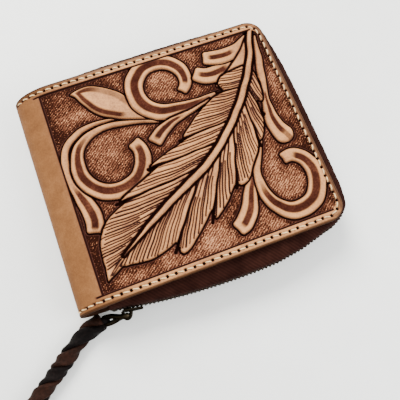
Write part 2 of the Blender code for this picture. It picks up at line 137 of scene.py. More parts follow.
class Nodes:
    """A node material under construction."""

    def __init__(self, name):
        self.material = bpy.data.materials.new(name)
        self.material.use_nodes = True
        self.tree = self.material.node_tree
        self.shader = self.tree.nodes["Principled BSDF"]
        self.place = self.add("ShaderNodeTexCoord").outputs["Object"]

    def add(self, kind, inputs=None, **settings):
        """A new node. inputs are numbers or sockets, by the input's name or number."""
        node = self.tree.nodes.new(kind)
        for name, value in settings.items():
            setattr(node, name, value)
        for name, value in (inputs or {}).items():
            self.plug(value, node.inputs[name])
        return node

    def plug(self, value, socket):
        if isinstance(value, bpy.types.NodeSocket):
            self.tree.links.new(value, socket)
        else:
            socket.default_value = value

    def math(self, operation, *values, clamp=False):
        node = self.add("ShaderNodeMath", dict(enumerate(values)), operation=operation, use_clamp=clamp)
        return node.outputs[0]

    def times(self, value, factor, clamp=False):
        return self.math("MULTIPLY", value, factor, clamp=clamp)

    def weigh(self, *terms):
        """The sum of (value, weight) pairs."""
        total, *others = [self.times(*term) for term in terms]
        for product in others:
            total = self.math("ADD", total, product)
        return total

    def attribute(self, name):
        """The three numbers that a colour attribute holds at a point."""
        node = self.add("ShaderNodeAttribute", attribute_name=name)
        return tuple(self.add("ShaderNodeSeparateColor", {0: node.outputs["Color"]}).outputs)

    def moved(self, scale=(1, 1, 1), degrees=0.0):
        inputs = {"Vector": self.place, "Scale": scale, "Rotation": (0, 0, math.radians(degrees))}
        return self.add("ShaderNodeMapping", inputs).outputs[0]

    def noise(self, per_mm, detail=3.0, rough=0.55):
        inputs = {"Vector": self.moved(), "Scale": per_mm / MM, "Detail": detail, "Roughness": rough}
        return self.add("ShaderNodeTexNoise", inputs).outputs[0]

    def cells(self, per_mm, stretch=(1, 1, 1), degrees=0.0, feature="DISTANCE_TO_EDGE", random=1.0):
        inputs = {"Vector": self.moved(stretch, degrees), "Scale": per_mm / MM, "Randomness": random}
        return self.add("ShaderNodeTexVoronoi", inputs, feature=feature).outputs["Distance"]

    def wave(self, per_mm, degrees, distort=1.0, detail=1.0):
        # At a scale of 1 Blender draws a band every tau / 20
        inputs = {"Vector": self.moved(degrees=degrees), "Scale": per_mm / MM / 20 * math.tau}
        inputs |= {"Distortion": distort, "Detail": detail, "Detail Scale": 1.5}
        return self.add("ShaderNodeTexWave", inputs).outputs["Fac"]

    def ramp(self, value, *stops):
        """stops are (position, colour)"""
        node = self.add("ShaderNodeValToRGB", {0: value})
        marks = node.color_ramp.elements
        while len(marks) < len(stops):
            marks.new(0.5)
        for mark, (at, colour) in zip(marks, stops):
            mark.position = at
            mark.color = (*colour, 1.0)
        return node.outputs[0]

    def span(self, value, low, high, new_low=0.0, new_high=1.0):
        """The value stretched so that low and high become new_low and new_high."""
        inputs = {0: value, "From Min": low, "From Max": high, "To Min": new_low, "To Max": new_high}
        return self.add("ShaderNodeMapRange", inputs).outputs[0]

    def mix(self, share, first, second, blend="MIX"):
        colours = [(*value, 1.0) if isinstance(value, tuple) else value for value in (first, second)]
        inputs = {0: share, 6: colours[0], 7: colours[1]}
        return self.add("ShaderNodeMix", inputs, data_type="RGBA", blend_type=blend).outputs[2]

    def bump(self, height, distance_mm, strength, normal=None):
        inputs = {"Strength": strength, "Distance": distance_mm * MM, "Height": height}
        if normal is not None:
            inputs["Normal"] = normal
        return self.add("ShaderNodeBump", inputs).outputs[0]

    def finish(self, colour, roughness, normal, gloss=0.5):
        inputs = {"Base Color": colour, "Roughness": roughness, "Normal": normal, "Specular IOR Level": gloss}
        for name, value in inputs.items():
            self.plug(value, self.shader.inputs[name])
        return self.material


def grain(m, pore_per_mm=1.6, depth=0.05):
    """Fine leather grain as a bump: small cells with finer noise over them."""
    pores = m.span(m.cells(pore_per_mm), 0.0, 0.25)
    return m.bump(m.weigh((pores, 1.0), (m.noise(4.5, 2.0), 0.6)), depth, 0.5)


def tooled_leather():
    m = Nodes("tooled_leather")
    matted, dyed, cut = m.attribute("tooling")
    shade, rim, bare = m.attribute("finish")
    blot = m.noise(0.17, 4.0)
    fibre = m.noise(1.2, 4.0, 0.65)
    tone = m.weigh((m.noise(0.035), 0.3), (blot, 0.35), (fibre, 0.35))
    tan = m.ramp(
        tone, (0.36, (0.208, 0.083, 0.034)), (0.47, (0.372, 0.161, 0.060)), (0.6, (0.545, 0.246, 0.089))
    )
    # Matted ground: close-set tool marks, dark by the cut edges, partly dye settled there and partly painted
    # shade
    dots = m.span(m.cells(1.42, (1, 1, 0.2), 40, "F1", 0.5), 0.1, 0.55, 1.0, 0.0)
    marks = m.weigh((dots, 0.7), (m.wave(1.0, 52, 5.0, 3.0), 0.3))
    patches = m.span(m.noise(0.11, 4.0, 0.6), 0.3, 0.7)
    light = m.weigh((marks, 1.1), (patches, 0.36), (fibre, 0.35), (shade, -0.56))
    ground = m.ramp(
        m.math("SUBTRACT", light, 0.225),
        (0.0, (0.013, 0.0032, 0.0016)),
        (0.2, (0.050, 0.0138, 0.0064)),
        (0.42, (0.158, 0.060, 0.030)),
        (0.62, (0.345, 0.152, 0.073)),
        (0.88, (0.50, 0.226, 0.098)),
    )
    # Raised shapes, dyed along their middles and darkened towards their edges by painted shade
    wash = m.weigh((blot, 0.6), (fibre, 0.4))
    dye = m.ramp(
        wash, (0.36, (0.019, 0.0052, 0.0034)), (0.52, (0.042, 0.0118, 0.0068)), (0.68, (0.100, 0.034, 0.017))
    )
    shape = m.mix(m.times(shade, 0.9), tan, (0.085, 0.031, 0.014))
    colour = m.mix(matted, m.mix(dyed, shape, dye), ground)
    # Spine, rim and back keep the bare leather's colour, with burnished edges; the cut edge is darkest,
    # burnish with a painted shadow under the rim
    plain = m.ramp(
        tone, (0.36, (0.122, 0.050, 0.0185)), (0.5, (0.168, 0.070, 0.0255)), (0.62, (0.215, 0.094, 0.035))
    )
    freckle = m.span(m.noise(1.7, 2.0), 0.60, 0.72)
    plain = m.mix(m.times(freckle, 0.4), plain, (0.12, 0.050, 0.022))
    burnish_and_shadow = m.times(rim, m.span(blot, 0.25, 0.6, 0.8, 1.0), clamp=True)
    colour = m.mix(burnish_and_shadow, m.mix(bare, colour, plain), (0.020, 0.0080, 0.0045))
    # Knife cuts: brown at their edges, near black inside
    colour = m.mix(m.times(cut, 1.25, clamp=True), colour, (0.074, 0.0255, 0.0185))
    colour = m.mix(m.span(cut, 0.45, 1.0), colour, (0.0042, 0.0011, 0.0007))
    rough = m.math("ADD", 0.46, m.times(m.math("MAXIMUM", matted, cut), 0.3))
    dull = m.math("MAXIMUM", m.math("MAXIMUM", cut, dyed), m.times(m.math("MAXIMUM", bare, matted), 0.8))
    gloss = m.times(m.math("SUBTRACT", 1.0, dull), 0.09)
    return m.finish(colour, rough, m.bump(m.times(marks, matted), 0.2, 0.7, grain(m)), gloss)


def plain_leather(name, dark, light, grain_depth=0.09, rough=0.55, gloss=0.2):
    m = Nodes(name)
    tone = m.weigh((m.noise(0.06), 0.5), (m.noise(0.9, 4.0), 0.5))
    colour = m.ramp(tone, (0.34, dark), (0.66, light))
    # Crease lines painted darker: painted shade in the creases
    crease_shade = m.span(m.cells(0.9), 0.0, 0.06, 0.75, 1.0)
    colour = m.mix(1.0, colour, crease_shade, "MULTIPLY")
    roughness = m.span(m.noise(0.5), 0.3, 0.7, rough - 0.08, rough + 0.08)
    return m.finish(colour, roughness, grain(m, 1.9, grain_depth), gloss)


def thread_cloth():
    m = Nodes("waxed_thread")
    colour = m.ramp(m.noise(1.3, 3.0, 0.6), (0.3, (0.46, 0.29, 0.14)), (0.6, (0.80, 0.54, 0.26)))
    soil = m.span(m.noise(0.09), 0.45, 0.7)
    colour = m.mix(m.times(soil, 0.3), colour, (0.36, 0.21, 0.10))
    return m.finish(colour, 0.6, m.bump(m.wave(2.2, 35), 0.12, 0.8), 0.2)


def zip_cloth():
    m = Nodes("zip_tape")
    m.place = m.add("ShaderNodeAttribute", attribute_name="weave").outputs["Vector"]
    weave = m.weigh((m.wave(0.85, 40, 1.2), 0.85), (m.wave(2.4, 90, 0.5), 0.15))
    tone = m.weigh((weave, 0.2), (m.noise(0.14, 4.0), 0.8))
    colour = m.ramp(
        tone, (0.3, (0.0085, 0.0022, 0.0015)), (0.5, (0.0148, 0.0044, 0.0029)), (0.7, (0.025, 0.0080, 0.0054))
    )
    return m.finish(colour, 0.9, m.bump(weave, 0.05, 0.5), 0.03)


def metal_rubbed_and_highlit(name, dark, light, bright, rough=0.42):
    m = Nodes(name)
    colour = m.ramp(m.noise(0.5, 4.0), (0.35, dark), (0.65, light))
    # Sharp edges painted lighter: metal rubbed bright there, and a painted highlight
    rubbed_edge_and_glint = m.span(m.add("ShaderNodeNewGeometry").outputs["Pointiness"], 0.52, 0.60)
    colour = m.mix(m.times(rubbed_edge_and_glint, 0.8), colour, bright)
    roughness = m.span(m.noise(0.9), 0.3, 0.7, rough - 0.1, rough + 0.12)
    m.plug(1.0, m.shader.inputs["Metallic"])
    m.plug((0.16, 0.13, 0.10, 1.0), m.shader.inputs["Specular Tint"])
    return m.finish(colour, roughness, m.bump(m.noise(2.5), 0.03, 0.5))


def pale_floor():
    m = Nodes("pale_floor")
    fine = m.noise(0.05, 5.0)
    tone = m.weigh((m.noise(0.006, 4.0), 0.7), (fine, 0.3))
    colour = m.ramp(tone, (0.35, (0.84, 0.845, 0.80)), (0.65, (0.90, 0.905, 0.865)))
    return m.finish(colour, 0.5, m.bump(fine, 0.05, 0.3))


# Geometry helpers


def catmull(points, spacing):
    """Rows along a smooth curve through the points; further columns, such as widths, come along."""
    p = np.array(points, float)
    knots = np.vstack([2 * p[0] - p[1], p, 2 * p[-1] - p[-2]])
    rows = []
    for a, b, c, d in zip(knots, knots[1:], knots[2:], knots[3:]):
        count = max(2, int(np.linalg.norm((c - b)[:2]) / spacing) + 1)
        t = (np.arange(count) / count)[:, None]
        square, cube = 2 * a - 5 * b + 4 * c - d, 3 * (b - c) + d - a
        rows.append((2 * b + (c - a) * t + square * t**2 + cube * t**3) / 2)
    rows.append(p[-1:])
    return np.vstack(rows)


def smoothed(line, rounds):
    """A line with its small kinks averaged out; its ends stay."""
    for _ in range(rounds):
        line[1:-1] = (line[:-2] + 2 * line[1:-1] + line[2:]) / 4
    return line


def ease(value):
    value = np.clip(value, 0.0, 1.0)
    return value * value * (3 - 2 * value)


def smooth_between(pairs, at):
    """Values read from (station, value) pairs by a curve that never overshoots them."""
    s, v = np.array(pairs, float).T
    step = np.diff(v) / np.diff(s)
    slope = np.zeros(len(v))
    same = step[:-1] * step[1:] > 0
    slope[1:-1][same] = 2 * step[:-1][same] * step[1:][same] / (step[:-1] + step[1:])[same]
    at = np.clip(np.asarray(at, float), s[0], s[-1])
    k = np.clip(np.searchsorted(s, at, side="right") - 1, 0, len(s) - 2)
    span = s[k + 1] - s[k]
    t = (at - s[k]) / span
    lean = t * (1 - t) ** 2 * slope[k] - t * t * (1 - t) * slope[k + 1]
    return v[k] + (v[k + 1] - v[k]) * ease(t) + span * lean


def unit(rows):
    return rows / np.linalg.norm(rows, axis=-1, keepdims=True)


def run_along(points):
    """The distance along a line at each of its points."""
    return np.r_[0, np.cumsum(np.linalg.norm(np.diff(points, axis=0), axis=1))]


def closed_directions(path):
    return unit(np.roll(path, -1, 0) - np.roll(path, 1, 0))


def rounded_side(low_x, high_x, low_y, high_y, radius, step):
    """An outline whose two corners at high_x are rounded, with a point every step degrees."""
    points = [(low_x, low_y)]
    for cy, start in ((low_y + radius, -90), (high_y - radius, 0)):
        for a in np.radians(np.arange(start, start + 91, step)):
            points.append((high_x - radius + radius * math.cos(a), cy + radius * math.sin(a)))
    points.append((low_x, high_y))
    return np.array(points)


def make_mesh(name, verts_mm, faces, material, smooth=True):
    mesh = bpy.data.meshes.new(name)
    mesh.from_pydata((np.asarray(verts_mm, float) * MM).tolist(), [], [tuple(map(int, f)) for f in faces])
    mesh.validate()
    mesh.materials.append(material)
    if smooth:
        mesh.polygons.foreach_set("use_smooth", np.ones(len(mesh.polygons), bool))
    obj = bpy.data.objects.new(name, mesh)
    bpy.context.collection.objects.link(obj)
    return obj


def add_colours(obj, name, values):
    layer = obj.data.color_attributes.new(name, "FLOAT_COLOR", "POINT")
    full = np.ones((len(obj.data.vertices), 4), np.float32)
    full[:, : values.shape[1]] = values
    layer.data.foreach_set("color", full.ravel())


def face_outward(obj):
    bm = bmesh.new()
    bm.from_mesh(obj.data)
    bmesh.ops.recalc_face_normals(bm, faces=bm.faces)
    bm.to_mesh(obj.data)
    bm.free()
    return obj


def grid_faces(rows, columns, closed=False, start=0):
    """Quads between rows of points laid out one after another."""
    i = np.arange(rows - 1)[:, None]
    j = np.arange(columns if closed else columns - 1)[None, :]
    after = (j + 1) % columns
    quads = [i * columns + j, i * columns + after, (i + 1) * columns + after, (i + 1) * columns + j]
    return np.stack(quads, -1).reshape(-1, 4) + start


class Builder:
    """Gathers closed loops of points into one mesh."""

    def __init__(self):
        self.verts = []
        self.faces = []

    def loft(self, rings, wrap=False):
        """rings: array (n, m, 3), each a closed loop. The last joins the first, or both ends are capped."""
        rings = np.asarray(rings, float)
        n, m = rings.shape[:2]
        start = sum(len(v) for v in self.verts)
        last = start + (n - 1) * m
        self.verts.append(rings.reshape(-1, 3))
        self.faces.extend(grid_faces(n, m, True, start).tolist())
        if wrap:
            after = [(k + 1) % m for k in range(m)]
            self.faces.extend([last + k, last + j, start + j, start + k] for k, j in enumerate(after))
        else:
            self.faces.append([start + k for k in range(m)][::-1])
            self.faces.append([last + k for k in range(m)])

    def build(self, name, material, smooth=True):
        return face_outward(make_mesh(name, np.vstack(self.verts), self.faces, material, smooth))


def lofted(name, rings, material, wrap=False):
    b = Builder()
    b.loft(rings, wrap)
    return b.build(name, material)


def swept(path, section, side, above):
    """Rings of a (side, above) section, one for the whole path or one for each of its points."""
    return path[:, None] + section[..., 0, None] * side[:, None] + section[..., 1, None] * above[:, None]


def section_rings(path, section, turns=0.0, scale=1.0):
    """Rings of a section that stays upright along a path, turned and scaled at each point."""
    ahead = unit(np.gradient(path, axis=0))
    side = unit(np.cross(ahead, (0.0, 0.0, 1.0)))
    c, s = (np.broadcast_to(part(turns), len(path))[:, None] for part in (np.cos, np.sin))
    a, b = (section[None, :, k] * np.broadcast_to(scale, len(path))[:, None] for k in (0, 1))
    return swept(path, np.stack([a * c - b * s, a * s + b * c], -1), side, np.cross(side, ahead))


def rested(rings):
    """The rings pressed flat where they lie on the table."""
    return np.concatenate([rings[..., :2], np.maximum(rings[..., 2:], 0.05)], -1)


def oval(width, height, count=14, square=2.6):
    """A closed outline, rounder or squarer by its exponent."""
    a = np.arange(count) / count * math.tau
    c, s = (np.sign(part) * abs(part) ** (2 / square) for part in (np.cos(a), np.sin(a)))
    return np.stack([c * width / 2, s * height / 2], -1)


# The leather: one sheet from the front's free edge over the spine to the back's


FINE_TO = 104.6  # the tooled front and its border end here, so the rows are fine up to it


def wrap_section(u):
    """(x, height off the middle, nx, nz) of the outer face at unrolled x, u, and half the spine's length."""
    quarter = np.radians(np.linspace(0, 90, 61))
    arcs = run_along(np.c_[SPINE_REACH * np.sin(quarter), MID_Z * np.cos(quarter)])
    over = np.maximum(SPINE_START_X - np.asarray(u, float), 0)
    t = np.interp(over, arcs, quarter)
    nx, nz = -np.sin(t) / SPINE_REACH, np.cos(t) / MID_Z
    size = np.hypot(nx, nz)
    x = np.where(over > 0, SPINE_START_X - SPINE_REACH * np.sin(t), u)
    return x, MID_Z * np.cos(t), nx / size, nz / size, arcs[-1]


def wrap_profile(depth, fine, coarse, inset):
    """Rows across the wrap: (distance along the outer face from the front's free edge, x, z, nx, nz)."""
    corner = CORNER_R - inset
    edge_rows = [inset + corner * (1 - math.cos(math.radians(4 * k))) for k in range(12)]
    spine_at = FREE_EDGE_X - SPINE_START_X
    half_wrap = spine_at + wrap_section(0.0)[-1]
    front = edge_rows + list(np.arange(edge_rows[-1] + fine, FINE_TO, fine))
    spine = list(np.arange(front[-1] + coarse / 2, half_wrap, coarse / 2))
    back = list(np.arange(spine_at, edge_rows[-1], -coarse)) + edge_rows[::-1]
    back_spine = [s for s in reversed(spine) if s > spine_at + 0.3]
    s = np.array([*front, *spine, half_wrap, *(2 * half_wrap - s for s in back_spine + back)])
    side = np.where(s <= half_wrap, 1, -1)
    x, z, nx, nz, _ = wrap_section(FREE_EDGE_X - np.minimum(s, 2 * half_wrap - s))
    return np.stack([s, x - nx * depth, MID_Z + side * (z - nz * depth), nx, side * nz], -1), half_wrap


def row_limits(x, inset):
    corner = CORNER_R - inset
    into = np.clip(x - (FREE_EDGE_X - CORNER_R), 0, corner)
    cut = corner - np.sqrt(corner**2 - into**2)
    return COVER_Y[0] + inset + cut, COVER_Y[1] - inset - cut, into / corner


def leather_sheet(name, material, depth, thick, inset, fine, coarse, edge, relief):
    """The wrap as a closed sheet with rounded edges. relief(u, y, side) gives its height and colours."""
    rows, half_wrap = wrap_profile(depth, fine, coarse, inset + edge)
    s, x, z, nx, nz = rows.T
    flat_x = np.where(s <= half_wrap, FREE_EDGE_X - s, FREE_EDGE_X - (2 * half_wrap - s))
    low, high, lean = row_limits(flat_x, inset + edge)
    n_rows, columns = len(rows), int((COVER_Y[1] - COVER_Y[0]) / fine) + 1

    def across(values):
        return np.repeat(values[:, None], columns, 1)

    y = low[:, None] + (high - low)[:, None] * np.linspace(0, 1, columns)
    base = np.stack([across(x), y, across(z)], -1)
    normal = np.stack([across(nx), np.zeros_like(y), across(nz)], -1)
    height, tooling, finish = relief(across(flat_x), y, across(np.where(s <= half_wrap, 1, -1)))
    outer = base + normal * height[..., None]
    index = np.arange(n_rows * columns).reshape(n_rows, columns)
    # The rim, once round: along the front's free edge, then each side and the back's free edge
    ring = np.r_[index[0, :], index[1:, -1], index[-1, -2::-1], index[-2:0:-1, 0]]
    i, j = np.divmod(ring, columns)
    tilt, end = lean[i], (j == 0) | (j == columns - 1)
    out = np.zeros((len(ring), 3))
    out[:, 0] = np.where(end, tilt, 1.0)
    out[:, 1] = np.where(end, np.sqrt(1 - np.minimum(tilt, 1) ** 2) * np.where(j == 0, -1, 1), 0.0)
    rim_base, rim_normal = base.reshape(-1, 3)[ring], normal.reshape(-1, 3)[ring]
    # A quarter round at the outer edge and a chamfer at the inner one, as (share out, distance in)
    levels = [(math.sin(a), edge * (1 - math.cos(a))) for a in np.radians([30, 60, 90])]
    levels += [(math.sin(a), thick - edge * math.sin(a)) for a in np.radians([90, 45, 0])]
    rings = [rim_base + out * edge * share - rim_normal * down for share, down in levels]
    faces = grid_faces(n_rows, columns).tolist()
    inner = ring
    for k in range(len(rings)):
        outside, inner = inner, n_rows * columns + k * len(ring) + np.arange(len(ring))
        faces += np.stack([outside, np.roll(outside, -1), np.roll(inner, -1), inner], -1).tolist()
    # The inner face: a strip for each row
    right = np.r_[inner[columns - 1], inner[columns : columns + n_rows - 1]]
    last = inner[columns + n_rows - 2 : 2 * columns + n_rows - 2]
    left = np.r_[inner[0], inner[2 * columns + n_rows - 2 :][::-1], last[-1]]
    faces += [[left[k], left[k + 1], right[k + 1], right[k]] for k in range(1, n_rows - 2)]
    faces += [[*inner[:columns], right[1], left[1]], [*last, left[-2], right[-2]]]
    obj = make_mesh(name, np.vstack([outer.reshape(-1, 3), *rings]), faces, material)
    # The cut edge painted dark all round: burnished leather, and a painted shadow under the rim
    rim_finish = np.zeros((len(rings) * len(ring), 3))
    rim_finish[:, 1:] = 1.0
    rim_finish[: len(ring), 1] = 0.75
    add_colours(obj, "tooling", np.vstack([tooling.reshape(-1, 3), np.zeros_like(rim_finish)]))
    add_colours(obj, "finish", np.vstack([finish.reshape(-1, 3), rim_finish]))
    return face_outward(obj)


def wrap_point(u, y, lift, side):
    """A point at unrolled x, u, on one half's outer face, lifted off it."""
    x, z, nx, nz, _ = wrap_section(u)
    return np.stack([x + nx * lift, np.broadcast_to(y, np.shape(x)), MID_Z + side * (z + nz * lift)], -1)


# The tooled design, in the front's own axes: x as in the frame, y along the spine, millimetres.
# A stroke is points (x, y, half-width) along its middle.

BORDER_INSET = 4.3
FIELD_LEFT = -48.8
FIELD_RIGHT = 52.6
FIELD_DEPTH = 0.85
BARB_PITCH = 1.2
RACHIS_LENGTH = 118.6
OUTLINES = {
    "upper_scroll": [
        (10.3, 28.4, 2.2), (13.2, 31.6, 2.7), (13.9, 36.8, 3.1), (10.9, 42.4, 3.3), (5.0, 45.3, 3.5),
        (-2.0, 45.2, 3.8), (-7.4, 40.7, 4.0), (-9.4, 34.0, 4.1), (-7.6, 26.9, 4.0), (-1.6, 22.2, 3.8),
        (6.8, 20.7, 3.2), (16.0, 20.8, 2.4), (26.0, 22.3, 0.9),
    ],
    "lower_scroll": [
        (-17.2, 13.0, 3.0), (-15.4, 8.6, 3.3), (-16.6, 1.9, 3.4), (-21.4, -3.4, 3.5), (-28.2, -5.4, 3.6),
        (-35.0, -3.8, 3.6), (-40.2, 0.8, 3.5), (-42.4, 7.2, 3.2), (-41.6, 14.2, 2.7), (-38.0, 19.8, 2.1),
        (-32.2, 22.9, 1.6), (-24.5, 23.6, 1.3), (-14.5, 22.0, 1.1), (-3.0, 18.8, 0.9), (10.5, 18.6, 0.8),
        (23.5, 21.6, 0.4),
    ],
    "right_scroll": [
        (39.4, -15.8, 2.6), (43.6, -15.3, 3.0), (48.0, -18.4, 3.4), (49.9, -24.2, 3.6), (48.8, -31.0, 3.8),
        (44.6, -36.4, 3.9), (38.8, -38.4, 3.9), (32.6, -37.2, 3.6), (27.9, -31.6, 2.9), (26.2, -24.6, 2.2),
        (26.9, -17.8, 1.6), (30.6, -11.0, 1.0), (34.2, -5.4, 0.4),
    ],
    "corner_leaf": [
        (-35.8, 43.4, 0.1), (-32.0, 42.4, 2.3), (-28.2, 39.8, 4.8), (-23.6, 35.6, 6.5), (-19.2, 31.8, 6.1),
        (-14.6, 27.8, 4.2), (-8.0, 23.0, 2.0), (2.5, 19.2, 0.6),
    ],
    "spine_leaf": [
        (-44.2, -18.6, 3.2), (-42.9, -14.4, 3.8), (-43.0, -9.6, 3.7), (-44.8, -3.6, 2.8),
        (-47.0, 3.5, 1.8), (-47.4, 12.5, 1.7), (-44.6, 20.0, 1.6), (-37.5, 25.1, 1.3), (-28.5, 26.7, 0.9),
        (-19.0, 24.9, 0.5),
    ],
    "small_leaf": [
        (-8.8, 9.8, 3.2), (-4.6, 13.4, 3.0), (1.0, 15.9, 2.0), (8.0, 17.6, 1.0), (20.0, 20.4, 0.4),
    ],
    "top_leaf": [
        (24.9, 40.6, 3.1), (30.2, 38.9, 3.7), (35.6, 38.6, 3.5), (41.4, 40.6, 2.4), (47.2, 45.2, 0.8),
    ],
    "second_leaf": [
        (18.4, 34.7, 3.3), (22.8, 31.9, 3.9), (28.6, 31.4, 4.0), (35.2, 33.6, 3.2), (42.4, 38.8, 1.6),
        (47.6, 45.0, 0.7),
    ],
    "collar_leaf": [
        (47.2, 43.6, 0.6), (43.6, 37.2, 2.2), (38.8, 31.6, 3.2), (32.6, 28.0, 2.6), (26.4, 25.6, 0.9),
    ],
    "edge_leaf": [
        (51.0, 43.2, 0.5), (48.2, 31.4, 1.5), (45.8, 22.4, 1.7), (43.5, 12.5, 1.7), (42.5, 5.6, 2.6),
        (42.8, -1.0, 3.7), (44.4, -5.4, 4.2),
    ],
    "lower_leaf": [
        (10.2, -37.6, 3.2), (13.2, -36.4, 3.7), (16.4, -33.4, 3.7), (19.2, -28.8, 3.3), (21.6, -23.6, 2.6),
        (24.8, -18.0, 1.7), (29.0, -11.6, 0.3),
    ],
}
# In the order in which they are laid over one another: (outline, dyed share of the width, dye from and to
# as shares of the length, the dye's offset, a blunt end, the dye's distance in from the edge)
STROKES = (
    ("spine_leaf", 0.38, 0.0, 0.36, -0.05, True),
    ("lower_scroll", 0.42, 0.01, 0.56, -0.1, True),
    ("corner_leaf", 0.19, 0.02, 0.60, 0.0, False, 1.9),
    ("upper_scroll", 0.42, 0.03, 0.97, 0.08, True),
    ("small_leaf", 0.40, 0.02, 0.85, 0.0, True),
    ("second_leaf", 0.30, 0.03, 0.5, 0.05, True),
    ("top_leaf", 0.30, 0.05, 0.6, 0.0, True),
    ("collar_leaf", 0.16, 0.5, 0.9, 0.4),
    ("edge_leaf", 0.28, 0.55, 1.06, 0.12),
    ("lower_leaf", 0.34, 0.04, 0.80, -0.10, True),
    ("right_scroll", 0.42, 0.05, 0.78, -0.12, True),
)
RACHIS = [
    (49.5, 46.2, 1.05), (43.0, 30.5, 1.2), (29.0, 11.0, 1.35), (10.0, -6.0, 1.4), (-14.0, -18.5, 1.2),
    (-36.0, -31.5, 0.15),
]
FEATHER_TIP = np.array((-45.0, -39.1))
# Lobes of the feather's two sides: (share along the rachis, barb length) pairs
LEFT_LOBES = (
    ((0.150, 8.0), (0.165, 12.4), (0.199, 13.2), (0.229, 9.8)),
    ((0.240, 13.2), (0.293, 19.8), (0.341, 23.1), (0.367, 26.0)),
    ((0.377, 23.2), (0.420, 30.5), (0.463, 34.5)),
    ((0.474, 30.1), (0.523, 37.2), (0.573, 41.2)),
    ((0.590, 36.0), (0.670, 35.6), (0.773, 30.0), (0.866, 22.6), (0.93, 16.6), (0.985, 11.8)),
)
RIGHT_LOBES = (
    ((0.140, 8.0), (0.155, 13.6), (0.189, 13.8), (0.222, 8.8)),
    ((0.229, 17.0), (0.250, 20.5), (0.270, 23.0)),
    ((0.283, 25.0), (0.315, 28.2), (0.336, 33.0), (0.367, 31.5)),
    ((0.383, 29.3), (0.420, 34.2), (0.458, 36.9)),
    ((0.478, 29.8), (0.534, 35.6), (0.573, 39.5), (0.600, 36.3)),
    ((0.618, 30.5), (0.693, 29.3), (0.785, 24.5), (0.866, 18.0), (0.93, 12.8), (0.985, 10.4)),
)
# Angles of the barbs to the rachis: (share along it, degrees) pairs
LEFT_ANGLES = (
    (0.14, 66), (0.2, 63), (0.28, 55), (0.37, 43), (0.46, 39), (0.55, 30), (0.65, 22), (0.85, 20),
    (0.93, 13), (1.0, 3),
)
RIGHT_ANGLES = (
    (0.14, 35), (0.22, 42), (0.28, 34), (0.37, 25), (0.46, 21), (0.6, 24), (0.69, 26), (0.8, 18),
    (0.93, 8), (1.0, 0.5),
)
FEATHER_SIDES = ((LEFT_LOBES, LEFT_ANGLES, -1), (RIGHT_LOBES, RIGHT_ANGLES, 1))


def nearest_on(line, x, y):
    """Distance outside a stroke (negative inside), side offset, share along it and half-width there."""
    best = np.full(x.shape, 1e9)
    across, along, half = np.zeros(x.shape), np.zeros(x.shape), np.ones(x.shape)
    total = run_along(line[:, :2])
    for k in range(len(line) - 1):
        ax, ay, aw = line[k]
        dx, dy, dw = line[k + 1] - line[k]
        length = math.hypot(dx, dy) or 1e-9
        t = np.clip(((x - ax) * dx + (y - ay) * dy) / length**2, 0, 1)
        ox, oy = x - ax - t * dx, y - ay - t * dy
        w = aw + t * dw
        gap = np.hypot(ox, oy) - w
        closer = gap < best
        best = np.where(closer, gap, best)
        across = np.where(closer, (dx * oy - dy * ox) / length, across)
        along = np.where(closer, (total[k] + t * length) / total[-1], along)
        half = np.where(closer, w, half)
    return best, across, along, half


